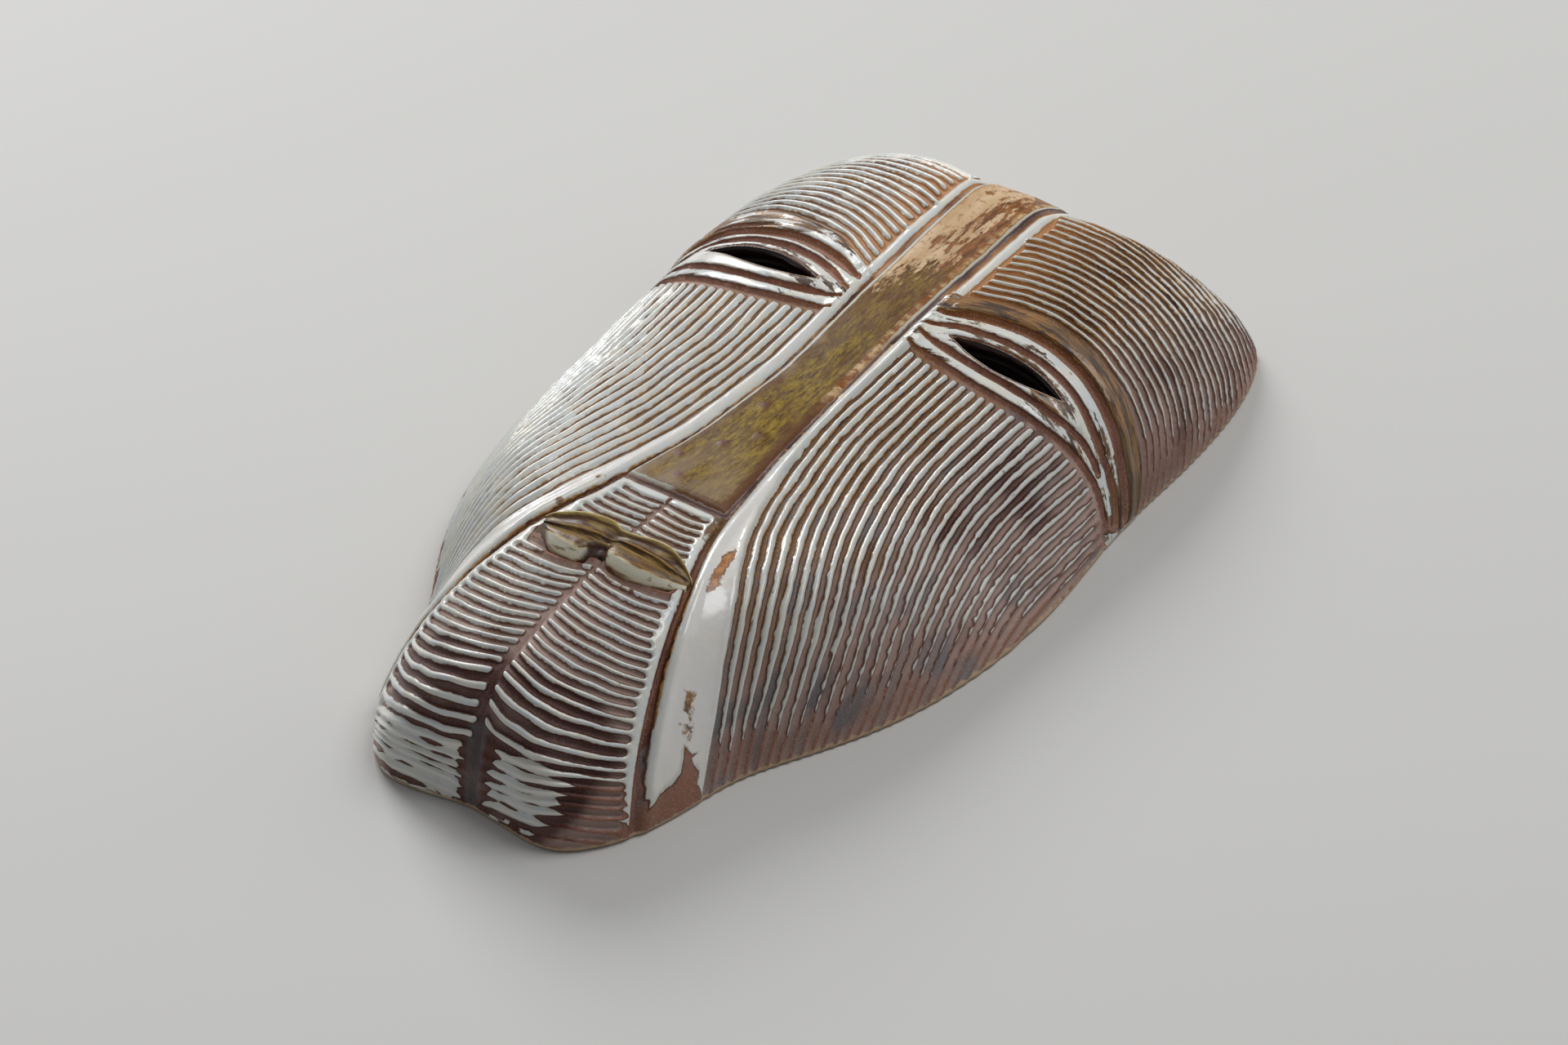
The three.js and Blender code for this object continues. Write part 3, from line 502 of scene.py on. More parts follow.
def relief(side, place):
    """How much is added to the plain skin, in mm."""
    X, Y, u, y = (place[key] for key in ("X", "Y", "u", "y"))
    s = side["sign"]
    field = field_of(place)
    half = strip_half_width(y)
    comb_place = comb_of(side, place, field)
    comb = np.where(field == STRIP, FAR_INSIDE, comb_distance(*comb_place))
    cut = cuts_of(side, place)
    low_chin = (field == MOUTH) * step(-138, -150, Y)
    depth = COMB_DEPTH * (1 + 0.12 * wander(s * X, Y, 18, 11)) * (1 - 0.55 * low_chin)
    combed = -depth * (1 - step(-0.8, 0.34, comb))
    crown = CROWN_RISE * step(0.1, 0.7, comb) * (field != STRIP) * (comb < 2)
    by_eye = (field == BROW) | (np.abs(Y - cheek_top(X)) < 4)
    full_depth = np.where(by_eye, 1, np.clip(0.55 + 0.5 * step(-20, -60, y), 0, 1))
    scored = -SCORED_DEPTH * full_depth * (1 - step(-1.2, 0.4, cut))
    below_nose_root = np.clip((NOSE_BASE_Y - y) / NOSE_STEP_LENGTH + 1, 0, 1)
    proud = NOSE_STEP * below_nose_root * (1 - 0.5 * u / half)
    proud = np.where(field == STRIP, proud, 0) * step(-1.0, 1.2, cut)
    bead = BEAD_RISE * np.exp(-(((u - half - BEAD_OFFSET) / 1.5) ** 2)) * (u > half)
    fold, outside = lid_marks(side, place)
    lid = LID_RISE * np.clip(1 - ((X - 40) / 30) ** 2, 0, 1) * np.clip(1 - np.abs(Y - 58.5) / 7, 0, 1)
    lid = np.where(field == BROW, lid, 0)
    band = FOLD_RISE * np.clip(1 - np.abs(fold - 4) / 3.4, 0, 1) * (field == BROW) * (u > half + 5)
    on_band = (field == BROW) * step(1.8, 2.6, fold) * step(0, -0.4, comb_place[0])
    on_lids = (field == BROW) * step(0, -1.5, fold) * step(0.6, 1.4, outside)
    scratch = np.abs(np.sin(math.pi * (fold + 0.35 * wander(X, Y, 20, 13)) / SCRATCH_PITCH)) ** 0.6
    scratched = (on_band + 0.6 * on_lids) * (wander(X, Y, 16, 14) > -0.4)
    scratches = -SCRATCH_DEPTH * (1 - scratch) * scratched
    slit_edge = -SLIT_EDGE_DEPTH * step(1.4, -0.2, outside)
    blisters = 0
    for bx, by in BLISTERS:
        gap = np.hypot(s * u - bx, y - by)
        blisters = blisters + BLISTER_RISE * np.exp(-((gap / BLISTER_SIZE) ** 2))
    uneven = 0.10 * wander(s * X, Y, 34, 12) + 0.05 * wander(s * X, Y, 8, 15)
    fade = np.clip(place["gap"] / FADE_MM, 0, 1)
    fade = fade * (2 - fade)
    raised = crown + proud + bead + lid + band + blisters
    return (np.minimum(combed, scored) + raised + scratches + slit_edge + uneven) * fade


# %% [markdown]
# ## The shell
# One net makes the whole skin: a column for each ray, right round the mask, and rows that go out from the
# spine to the rim, under the rim, and back up inside. A Blender grid has just that order, so the grid is
# made by an operator and only its vertices are moved. Where the two halves meet, the doubles are merged.


# %% Lay the net over the face
INNER_ROWS, INNER_GAP = 15, -9


def half_net(side):
    """Columns of points for one half, with their places, from the outer spine round to the inner spine."""
    nowhere = np.zeros(ring_r.shape, bool)
    place = dict(X=flat_x, Y=flat_y, u=base[..., 0], y=base[..., 1], gap=rim_gap, inside=nowhere)
    outer = base + outward * relief(side, place)[..., None]
    outer[[0, -1], :, 0] = 0
    outer[:, 0, 0] = 0
    low = np.clip(1 - outer[..., 2] / RIM_ROUNDING, 0, 1)
    tuck = RIM_ROUNDING * (1 - np.sqrt(1 - low**2))
    outer[..., 0] -= tuck * toward[:, None, 0]
    outer[..., 1] -= tuck * toward[:, None, 1]
    outer[..., 2] = np.maximum(outer[..., 2], 0)
    shrink = 1 - RIM_WIDTH / ray_length[:, None]
    inner_r = np.cos(np.linspace(0, math.pi / 2, INNER_ROWS))[None, :].repeat(RAYS, axis=0)
    inner_r[:, -1] = 0
    inner = skin(inner_r)
    inner[..., 0] *= shrink
    inner[..., 1] = spine_y[:, None] + (inner[..., 1] - spine_y[:, None]) * shrink
    inner[..., 2] *= 1 - WALL / height
    points = np.concatenate((outer, inner), axis=1)
    points[[0, -1], :, 0] = 0
    points[..., 0] *= side["sign"]
    layers = np.stack((flat_x * side["sign"], flat_y, rim_gap, base[..., 0], base[..., 1]), axis=-1)
    spare = np.zeros((RAYS, INNER_ROWS, 5))
    spare[..., 2] = INNER_GAP
    marks = np.concatenate((layers, spare), axis=1)
    return points, marks


right_points, right_marks = half_net(RIGHT)
left_points, left_marks = half_net(LEFT)
left_points[[0, -1]] = right_points[[0, -1]]
left_points[:, 0] = right_points[:, 0]
net = np.concatenate((right_points, left_points[-2::-1]), axis=0)
marks = np.concatenate((right_marks, left_marks[-2::-1]), axis=0)
columns, rows = net.shape[:2]
net[..., 1] -= CARVING_MIDDLE_Y
inset = 0.05
net[..., 1] = np.clip(net[..., 1], cad_low[1] + inset, cad_high[1] - inset)
print("net:", columns, "columns by", rows, "rows")

# %% [markdown]
# The operator makes a flat grid with as many columns and rows. Each vertex is sent to its place on the
# net, and the flat places are stored with it, so that they come through the cutting below. Where the
# doubles are merged, no edge may stay open. The function stand puts an object into the scene.

# %% Fill a grid with it
MERGE_METRES = 3e-7


def stand(name, data):
    """Put a new object into the scene; a bmesh is turned to a mesh first and freed."""
    if isinstance(data, bmesh.types.BMesh):
        bm = data
        data = bpy.data.meshes.new(name)
        bm.to_mesh(data)
        bm.free()
    thing = bpy.data.objects.new(name, data)
    bpy.context.collection.objects.link(thing)
    return thing


shell_bm = bmesh.new()
bmesh.ops.create_grid(shell_bm, x_segments=columns - 1, y_segments=rows - 1, size=1)
shell_mesh = bpy.data.meshes.new("mask")
shell_bm.to_mesh(shell_mesh)
shell_bm.free()
flat_grid = np.empty(len(shell_mesh.vertices) * 3, np.float32)
shell_mesh.vertices.foreach_get("co", flat_grid)
flat_grid = flat_grid.reshape(-1, 3)
column = np.rint((flat_grid[:, 0] + 1) / 2 * (columns - 1)).astype(int)
row = np.rint((flat_grid[:, 1] + 1) / 2 * (rows - 1)).astype(int)
shell_mesh.vertices.foreach_set("co", (net[column, row] * MM).astype(np.float32).ravel())
for name, part in (("flat", marks[..., :3]), ("above", marks[..., 2:])):
    layer = shell_mesh.attributes.new(name, "FLOAT_VECTOR", "POINT")
    layer.data.foreach_set("vector", part[column, row].astype(np.float32).ravel())
shell_bm = bmesh.new()
shell_bm.from_mesh(shell_mesh)
bmesh.ops.remove_doubles(shell_bm, verts=shell_bm.verts, dist=MERGE_METRES)
bmesh.ops.recalc_face_normals(shell_bm, faces=shell_bm.faces)
loose = [edge for edge in shell_bm.edges if len(edge.link_faces) != 2]
shell_bm.to_mesh(shell_mesh)
shell_bm.free()
mask = stand("mask", shell_mesh)
print("shell:", len(shell_mesh.polygons), "faces,", len(loose), "open edges")

# %% [markdown]
# ## Eye slits
# The slits were cut right through with a knife, so they are cut here too: a circle is bent to a lens,
# extruded upward and taken away from the shell. The Manifold solver is quick on a dense closed mesh.

# %% Cut the slits
SLIT_POINTS, KNIFE_LOW, KNIFE_LENGTH = 56, 20, 40
cutter_bm = bmesh.new()
for side in (RIGHT, LEFT):
    (x0, y0), (x1, y1), top, bottom = side["slit"]
    circle = bmesh.ops.create_circle(cutter_bm, cap_ends=True, segments=SLIT_POINTS, radius=1)
    for v in circle["verts"]:
        share = abs(math.atan2(v.co.y, v.co.x)) / math.pi
        lift = (top if v.co.y > 0 else bottom) - (y0 + y1) / 2
        x = side["sign"] * (x0 + (x1 - x0) * share)
        y = y0 + (y1 - y0) * share + 4 * share * (1 - share) * lift - CARVING_MIDDLE_Y
        v.co = Vector((x, y, KNIFE_LOW)) * MM
    raised = bmesh.ops.extrude_face_region(cutter_bm, geom=circle["verts"][0].link_faces[:])
    top_verts = [v for v in raised["geom"] if isinstance(v, bmesh.types.BMVert)]
    bmesh.ops.translate(cutter_bm, verts=top_verts, vec=(0, 0, KNIFE_LENGTH * MM))
bmesh.ops.recalc_face_normals(cutter_bm, faces=cutter_bm.faces)
knife = stand("slit_knife", cutter_bm)
slicing = mask.modifiers.new("slits", "BOOLEAN")
slicing.operation = "DIFFERENCE"
slicing.solver = "MANIFOLD"
slicing.object = knife
print("knife:", len(knife.data.polygons), "faces")

# %% [markdown]
# One piece may have so many triangles, so a second modifier thins the mesh. Both are applied by taking
# the evaluated mesh.

# %% Thin the mesh and apply
MOST_TRIANGLES = 190_000
triangles = sum(len(p.vertices) - 2 for p in shell_mesh.polygons)
if triangles > MOST_TRIANGLES:
    thinning = mask.modifiers.new("thinning", "DECIMATE")
    thinning.decimate_type = "COLLAPSE"
    thinning.ratio = MOST_TRIANGLES / triangles
bpy.context.view_layer.update()
evaluated = mask.evaluated_get(bpy.context.evaluated_depsgraph_get())
carved = bpy.data.meshes.new_from_object(evaluated)
mask.modifiers.clear()
mask.data = carved
bpy.data.objects.remove(knife)
carved.polygons.foreach_set("use_smooth", np.ones(len(carved.polygons), bool))
print("carved:", len(carved.polygons), "faces")

# %% [markdown]
# ## Marks for the glaze
# The glaze has to know where the comb went. Each corner of each face gets its comb phase and its
# distances, worked out for the field that the whole face lies in, so nothing blurs where two fields meet.


# %% Read the places back from the carved mesh
def read(name):
    values = np.empty(len(carved.vertices) * 3, np.float32)
    carved.attributes[name].data.foreach_get("vector", values)
    return values.reshape(-1, 3)


flat, above = read("flat").astype(float), read("above").astype(float)
seen = read("position") / MM
corner_vertex = np.empty(len(carved.loops), np.int32)
carved.loops.foreach_get("vertex_index", corner_vertex)
sizes = np.empty(len(carved.polygons), np.int32)
carved.polygons.foreach_get("loop_total", sizes)
first_corner = np.concatenate(([0], np.cumsum(sizes)[:-1]))


def face_mean(values):
    return np.repeat(np.add.reduceat(values[corner_vertex], first_corner) / sizes, sizes)


def places(X, Y, gap, u, y):
    return dict(X=np.abs(X), Y=Y, gap=gap, u=np.abs(u), y=y, inside=gap < -0.5)


layers = (flat[:, 0], flat[:, 1], flat[:, 2], above[:, 1], above[:, 2])
face_place = places(*(face_mean(layer) for layer in layers))
corner_place = places(*(layer[corner_vertex] for layer in layers))
on_left = face_mean(seen[:, 0]) < 0
corners = len(corner_vertex)
comb_marks, lid_columns = np.zeros((corners, 4)), np.zeros((corners, 2))
field, cut, wall = np.zeros(corners, int), np.zeros(corners), np.zeros(corners, bool)
for side, chosen in ((RIGHT, ~on_left), (LEFT, on_left)):
    own_face = {key: value[chosen] for key, value in face_place.items()}
    own = {key: value[chosen] for key, value in corner_place.items()}
    field[chosen] = field_of(own_face)
    comb_marks[chosen] = np.column_stack(comb_of(side, own, field[chosen]))
    cut[chosen] = cuts_of(side, own)
    lid_columns[chosen] = np.column_stack(lid_marks(side, own))
    true_place = dict(u=np.abs(seen[corner_vertex, 0]), y=seen[corner_vertex, 1] + CARVING_MIDDLE_Y)
    inward = slit_distance(side, true_place)
    lowest = np.repeat(np.minimum.reduceat(inward, first_corner), sizes)
    wall[chosen] = (lowest > -0.1)[chosen]
print("corners in strip, cheek, brow, mouth, inside:", np.bincount(field))

# %% [markdown]
# ## Where the kiln left what
# Glaze is never even. It is thick and white on the left and in the middle, and along the rim a
# purple-brown slip shows until no white is left. That is the cover: how many millimetres the white edge
# moves out. It falls off within a reach of the rim, and the reach changes round the mask.

# %% Cover
sx, sy = flat[corner_vertex, 0], flat[corner_vertex, 1]
gap = corner_place["gap"]
across = corner_place["u"] * np.sign(sx)
along_y = corner_place["y"]
from_border = np.abs(across) - strip_half_width(along_y)
phase = comb_marks[:, 0]
is_right = sx > 0
aside = np.abs(sx)
cheek, brow, mouth = field == CHEEK, field == BROW, field == MOUTH
right_cheek, right_brow = cheek & is_right, brow & is_right


def drift(size, seed, across_scale=1.0, along_scale=1.0):
    return wander(sx * across_scale, sy * along_scale, size, seed)


bare_reach = through(
    [(-140, 13), (-95, 14), (-60, 14), (-30, 11), (0, 7), (25, 4.5), (40, 5),
     (50, 13), (66, 18), (85, 13), (105, 6), (125, 2), (150, 1.5)]
)
reach = bare_reach(along_y) * np.where(is_right, 1, 0.4) * np.where(mouth, 0.2, 1)
ragged_gap = gap + 2.2 * drift(12, 23) + 1.3 * drift(4, 24)
thin_rim = step(reach + 5, reach - 1, ragged_gap)
bare_rim = step(0.7 * reach + 2, 0.6 * reach - 1, ragged_gap)
toward_rim = step(reach + 22, reach, gap)
flank = step(25, 90, sx) * cheek

cover = np.select([cheek, brow, mouth], [0.24, -0.10, 0.08], 0)
cover += (0.2 + 0.1 * brow) * ~is_right
cover += 0.08 * drift(50, 21) + 0.06 * drift(11, 22)
cover -= 0.30 * flank + 0.16 * toward_rim * is_right + 0.42 * thin_rim + 1.4 * bare_rim
patchy = step(0.1, 0.8, drift(15, 27, 1.3, 0.6)) * flank * step(30, -20, sy)
cover += 0.16 * flank * drift(3.5, 28, 1.5, 0.7) - 0.38 * patchy
cut_cover = 0.02 - 0.28 * brow * step(1.5, 4, from_border) - 0.4 * thin_rim - 1.1 * bare_rim
cut_cover -= 0.25 * toward_rim * right_brow

FRONT_RIGHT_Y, FRONT_LEFT_Y = -139, -143
row_y = sy - 0.008 * (aside - 8) ** 2
front = mouth * step(0, -6, row_y - np.where(is_right, FRONT_RIGHT_Y, FRONT_LEFT_Y))
streaky = wander(sx * 0.35, row_y * 1.5, 6, 31) + 0.7 * wander(sx * 0.5, row_y, 15, 32)
in_front = np.where(is_right, step(8, 14, sx) * step(43, 34, sx), step(-6, -11, sx))
cover += front * (0.95 * in_front - 1.3 * (1 - in_front) + 0.6 * streaky)
cover -= 0.10 * mouth * step(-100, -130, sy)
print("the white edge moves from", round(float(cover.min()), 1), "to", round(float(cover.max()), 1), "mm")

# %% [markdown]
# A dark rim of slip lies round the lips, where the laid-on clay kept the white glaze away. Below their
# front the dark band is drawn wider, as painted shade under the lips. So the lines of the lips are needed
# here. Each is a row of points: across, along and how high over the face.

# %% Lines of the lips
LIP_SHARES = (0, 0.08, 0.25, 0.4, 0.46, 0.52, 0.68, 0.85, 1)
LIP_RIM = [
    (-21.8, -72.5, 2), (-19.4, -71.2, 3), (-11.4, -67.6, 3.9), (-3.4, -66.3, 3.7), (0.2, -67.4, 3),
    (4, -67.4, 3.3), (11.4, -66.6, 3.9), (19.2, -68.4, 3.4), (24.3, -70.8, 0.6),
]
LIP_SEAM = [
    (-20.8, -75, 1.9), (-18.3, -75.3, 2.6), (-10.6, -74.4, 3), (-4, -73.1, 2.8), (-1.1, -72.3, 2.0),
    (2.2, -71.9, 2.8), (9.7, -72.3, 3), (18.3, -73, 2.5), (24.5, -71.7, 0.5),
]
LIP_CREST = [
    (-20.2, -76.6, 2), (-16.8, -78.6, 3.6), (-8.7, -80.6, 4.2), (-4.6, -80.0, 3.6), (-0.9, -75.0, 0.5),
    (2.4, -77.2, 3.7), (9.7, -78.7, 4.2), (18.4, -77.6, 3.1), (24.5, -73.4, 0.4),
]
LIP_FOOT = [
    (-19.4, -78, 0), (-14.6, -81.6, 0), (-7.4, -82.8, 0), (-4.6, -82.0, 0), (-0.6, -77.2, 0),
    (3.2, -79.8, 0), (11.2, -81, 0), (18.8, -79.2, 0), (24.6, -74.6, 0),
]


def along_lips(points):
    """A curve in space for every share of the way along the lips."""
    parts = [through(list(zip(LIP_SHARES, part))) for part in zip(*points)]
    return lambda share: np.array([part(share) for part in parts])


print("the lips are", LIP_RIM[-1][0] - LIP_RIM[0][0], "mm wide")

# %% [markdown]
# The white stops short of the lips. The widest ridge, beside the mouth, stayed clear white down to a
# ragged brown end.

# %% Round the lips and down the wide band
rim_over = through([point[:2] for point in LIP_RIM])
foot_under = through([point[:2] for point in LIP_FOOT])
beside_lips = np.maximum(across - 24.5, -21.5 - across).clip(0)
over_lips = (along_y - rim_over(across)).clip(0)
shade_under_lips = 0.55 * (foot_under(across) - along_y)
off_lips = np.maximum(over_lips, shade_under_lips) + beside_lips
# dark slip round the lips; the wider part of the band below their front is painted shade under the lips
cover -= 1.5 * mouth * step(2.0, 0.6, off_lips + 0.25 * wander(across, along_y, 4, 26))

wide_band = right_cheek & (phase < -0.1)
band_end = step(-99.5, -102, along_y + 0.42 * (across - 45) + 1.6 * wander(across, along_y, 6, 33))
cover = np.where(wide_band, 0.6, cover) - 14 * band_end * (right_cheek & (phase < 0.5))
print("corners on the wide band:", int(wide_band.sum()))

# %% [markdown]
# Iron stained the glaze in a few spots, which are listed with their place, size and strength. The lids
# were scratched before glazing, and lid_amount says how much of the brown of the scratches shows.

# %% Stains and lids
stain_spots = (
    (26.9, -57, 1.3, 4, 1.1), (28.0, -62.5, 1.5, 4, 1.2), (29.6, -68, 1.3, 3.6, 1.1),
    (41, -95.6, 1.9, 1.8, 1), (39, -93.5, 1.3, 1.4, 0.8), (35.8, -83.7, 1, 1.3, 0.8),
    (35, -78, 0.8, 0.9, 0.6), (43, -100, 2.5, 2.2, 0.8), (-21, -49.6, 1.2, 2.4, 0.9),
    (-23.4, -63.6, 1.2, 2, 0.8), (-19.6, -90.9, 1.3, 1.5, 0.7),
)
high_cheek = ((sx - 64) / 14) ** 2, ((sy - 24) / 18) ** 2
stain = 0.14 * step(0.5, 1, drift(14, 38)) + 0.36 * np.exp(-sum(high_cheek)) * cheek
for spot_x, spot_y, size_x, size_y, amount in stain_spots:
    away = ((across - spot_x) / size_x) ** 2 + ((along_y - spot_y) / size_y) ** 2
    stain += amount * np.exp(-away) * (np.sign(spot_x) == np.sign(sx))
stain += (mouth & is_right) * 0.8 * step(3.6, 2.4, -from_border) * step(-59, -52, along_y)

NO_BEAD = -99
above_fold, slit_gap = lid_columns.T
on_band = brow * step(1.2, 2.0, above_fold) * step(-0.1, -0.35, phase) * np.where(is_right, 1, 0.5)
on_lids = brow * step(-0.4, -1.2, above_fold) * np.where(is_right, 0.33, 0.24)
lid_amount = (on_band + on_lids) * (1 + 0.35 * drift(22, 37)) * step(1.0, 3.0, from_border)
bead = np.where(brow, BEAD_HALF - np.abs(from_border - BEAD_OFFSET), NO_BEAD)
print("mean stain:", round(float(stain.mean()), 3), "mean lid brown:", round(float(lid_amount.mean()), 3))

# %% [markdown]
# Three tints shift the colour of the slip: warm brown by the nose and on the forehead, oxblood where it
# pooled, and a grey-blue bloom in some of the grooves.

# %% Tints
warm = 0.12 + 0.95 * step(78, 20, aside) * cheek
warm += brow * 0.95 * step(88, 38, aside) * np.where(is_right, 1, 0.55)
warm += 0.25 * mouth * step(-115, -60, sy) + 0.15 * drift(20, 41)
warm = warm * (1 - 0.8 * toward_rim) + 0.25 * bare_rim
warm -= 0.8 * warm * brow * step(0.5, -0.5, above_fold) * step(4, 9, from_border)

scored_border = step(3.4, 2.0, np.abs(from_border)) * (cut < 0.4)
groove_number = np.round(phase)
oxblood = 0.85 * np.exp(-(((sx - 64) / 17) ** 2) - (((sy - 24) / 26) ** 2)) * cheek
oxblood += 0.95 * mouth * step(-112, -124, sy) * step(50, 40, aside)
oxblood += 0.28 * np.sin(2.3 * groove_number) * cheek * step(15, 45, sx)
oxblood += 0.20 * right_brow * step(30, 60, sx) * (1 - bare_rim) + 0.22 * drift(22, 42)
oxblood += 0.45 * scored_border - 0.3 * bare_rim * cheek

streaked = 0.30 * np.maximum(np.sin(1.7 * groove_number + 1), 0) * step(20, 50, sx)
bloom = 0.4 * step(0.2, 1.0, drift(18, 43, 1.5, 0.5)) + streaked + 0.22 * step(10, -40, sy)
bloom = bloom * right_cheek + 0.35 * right_brow * bare_rim
bloom += 0.6 * mouth * step(8, 4, aside) * step(-134, -144, sy)
print("mean tints:", [round(float(tint.mean()), 3) for tint in (warm, oxblood, bloom)])

# %% [markdown]
# An attribute can hold three numbers at every corner, so the eighteen marks go into six attributes. The
# walls of the slits get a field number of their own.

# %% Write the marks on the corners
WALL_FIELD = 5
marks_of = {
    "comb": (phase, comb_marks[:, 2], comb_marks[:, 3]),
    "scored": (cut, comb_marks[:, 1], np.where(wall, WALL_FIELD, field)),
    "glaze": (cover, cut_cover, stain),
    "tint": (warm, oxblood, bloom),
    "place": (across, along_y, slit_gap),
    "lid": (above_fold, lid_amount, bead),
}
for name, three in marks_of.items():
    layer = carved.attributes.new(name, "FLOAT_VECTOR", "CORNER")
    layer.data.foreach_set("vector", np.column_stack(three).astype(np.float32).ravel())
carved.attributes.remove(carved.attributes["flat"])
carved.attributes.remove(carved.attributes["above"])
print("attributes:", [attribute.name for attribute in carved.attributes])

# %% [markdown]
# ## Writing shaders as sums
# Node graphs are easier to read as formulas. This class wraps a socket, so that + - * and ** make Math
# nodes, and its node method adds any other node, sets it up and plugs in its inputs. Colours are written
# as three numbers from 0 to 255, as a screen shows them, and coats of colour are laid one over the other.


# %% Sockets that can be added and multiplied
class Wire:
    """One output of a node, to write formulas with."""

    def __init__(self, tree, socket=None):
        self.tree, self.socket = tree, socket

    def node(self, kind, ins=None, out=0, stops=None, **settings):
        """Add a node, set it up, plug in its inputs and give its output."""
        made = self.tree.nodes.new(kind)
        for name, value in settings.items():
            setattr(made, name, value)
        if stops:
            ramp = made.color_ramp
            while len(ramp.elements) < len(stops):
                ramp.elements.new(0.5)
            for element, (position, colour) in zip(ramp.elements, stops):
                element.position, element.color = position, paint(*colour)
        for key, value in (ins or {}).items():
            if isinstance(value, Wire):
                self.tree.links.new(value.socket, made.inputs[key])
            else:
                made.inputs[key].default_value = value
        return Wire(self.tree, made.outputs[out] if made.outputs else None)

    def sum(self, operation, a, b=0.0):
        return self.node("ShaderNodeMath", {0: a, 1: b}, operation=operation)

    def __add__(self, other):
        return self.sum("ADD", self, other)

    def __sub__(self, other):
        return self.sum("SUBTRACT", self, other)

    def __rsub__(self, other):
        return self.sum("SUBTRACT", other, self)

    def __mul__(self, other):
        return self.sum("MULTIPLY", self, other)

    def __pow__(self, other):
        return self.sum("POWER", self, other)

    def __abs__(self):
        return self.sum("ABSOLUTE", self)

    def over(self, other):
        return self.sum("MAXIMUM", self, other)

    def under(self, other):
        return self.sum("MINIMUM", self, other)

    __radd__, __rmul__ = __add__, __mul__

    def rises(self, low, high):
        """0 below low, 1 above high, smooth between; it falls where low is above high."""
        flip = low > high
        ins = {0: self, 1: min(low, high), 2: max(low, high), 3: float(flip), 4: float(not flip)}
        return self.node("ShaderNodeMapRange", ins, interpolation_type="SMOOTHSTEP")

    def mix(self, a, b):
        """Colour a where this is 0, colour b where it is 1."""
        a, b = (paint(*colour) if isinstance(colour, tuple) else colour for colour in (a, b))
        return self.node("ShaderNodeMix", {0: self, 6: a, 7: b}, out=2, data_type="RGBA")


def paint(r, g, b):
    """An 8-bit screen colour as the linear numbers that Blender mixes."""
    shares = (r / 255, g / 255, b / 255)
    return tuple(((c + 0.055) / 1.055) ** 2.4 if c > 0.04 else c / 12.92 for c in shares) + (1.0,)


def layered(colour, *coats):
    """Lay coats over a colour in turn; each is a share, from 0 to 1, and a colour."""
    for share, coat_colour in coats:
        colour = share.mix(colour, coat_colour)
    return colour


def new_material(name):
    material = bpy.data.materials.new(name)
    material.use_nodes = True
    material.node_tree.nodes.clear()
    return material, Wire(material.node_tree)


def split(vector):
    """The three numbers of a vector, each as a wire."""
    node = vector.node("ShaderNodeSeparateXYZ", {0: vector}).socket.node
    return [Wire(vector.tree, node.outputs[i]) for i in range(3)]


def attribute(wire, name):
    """The three numbers that were written on the corners."""
    return split(wire.node("ShaderNodeAttribute", out=1, attribute_name=name))


def noise(coordinates, size, detail=2.0, rough=0.5):
    """Noise whose patches are about size mm across."""
    ins = {"Vector": coordinates, "Scale": 1000 / size, "Detail": detail, "Roughness": rough}
    return coordinates.node("ShaderNodeTexNoise", ins)


# %% [markdown]
# ## Where white ends
# White glaze sits on the ridges and stops at a ragged edge. The distance to that edge is one number:
# positive on the white, negative in the groove. The comb's distance is worked out from its phase here in
# the shader, because a distance that folds over between two corners of a face would blur, and a phase
# doesn't.

# %% Distance to the white edge
glaze_material, g = new_material("combed_glaze")
objects = g.node("ShaderNodeTexCoord", out=3)
height_mm = split(objects)[2] * 1000
phase_w, past_ridge, past_groove = attribute(g, "comb")
cut_w, pitch_w, field_w = attribute(g, "scored")
cover_w, cut_cover_w, stain_w = attribute(g, "glaze")
warm_w, oxblood_w, bloom_w = attribute(g, "tint")
place_x, place_y, slit_w = attribute(g, "place")
fold_w, lid_w, bead_w = attribute(g, "lid")

fine_noise = noise(objects, 1.6, 1.0)
wobble = (fine_noise - 0.5) * 0.26 + (noise(objects, 4.5, 2.0) - 0.5) * 0.42
nearest = g.sum("ROUND", phase_w).over(0.0)
off = abs(phase_w - nearest) * pitch_w
to_ridge = (pitch_w * 0.5 - off).over(0.0)
end_gap = past_groove.over(0.0)
tip_gap = past_ridge.over(0.0)
around_end = (off * off + end_gap * end_gap) ** 0.5 - pitch_w * COMB_HALF_SHARE
around_tip = pitch_w * (0.5 - COMB_HALF_SHARE) - (to_ridge * to_ridge + tip_gap * tip_gap) ** 0.5
on_tip = past_ridge.rises(-0.001, 0.001)
is_strip = field_w.rises(0.6, 0.4)
is_inside = field_w.rises(3.4, 3.6) * field_w.rises(4.6, 4.4)
is_wall = field_w.rises(4.4, 4.6)
comb_w = around_end * (1 - on_tip) + around_tip * on_tip + is_strip * 9
white_edge = (comb_w + cover_w).over(bead_w).under(cut_w + cut_cover_w + 0.12)
white_edge = white_edge.under(slit_w - 0.35) + wobble
white = white_edge.rises(-0.05, 0.10)
fringe = white_edge.rises(-0.26, -0.10) * white_edge.rises(0.24, 0.04)
print("nodes so far:", len(g.tree.nodes))
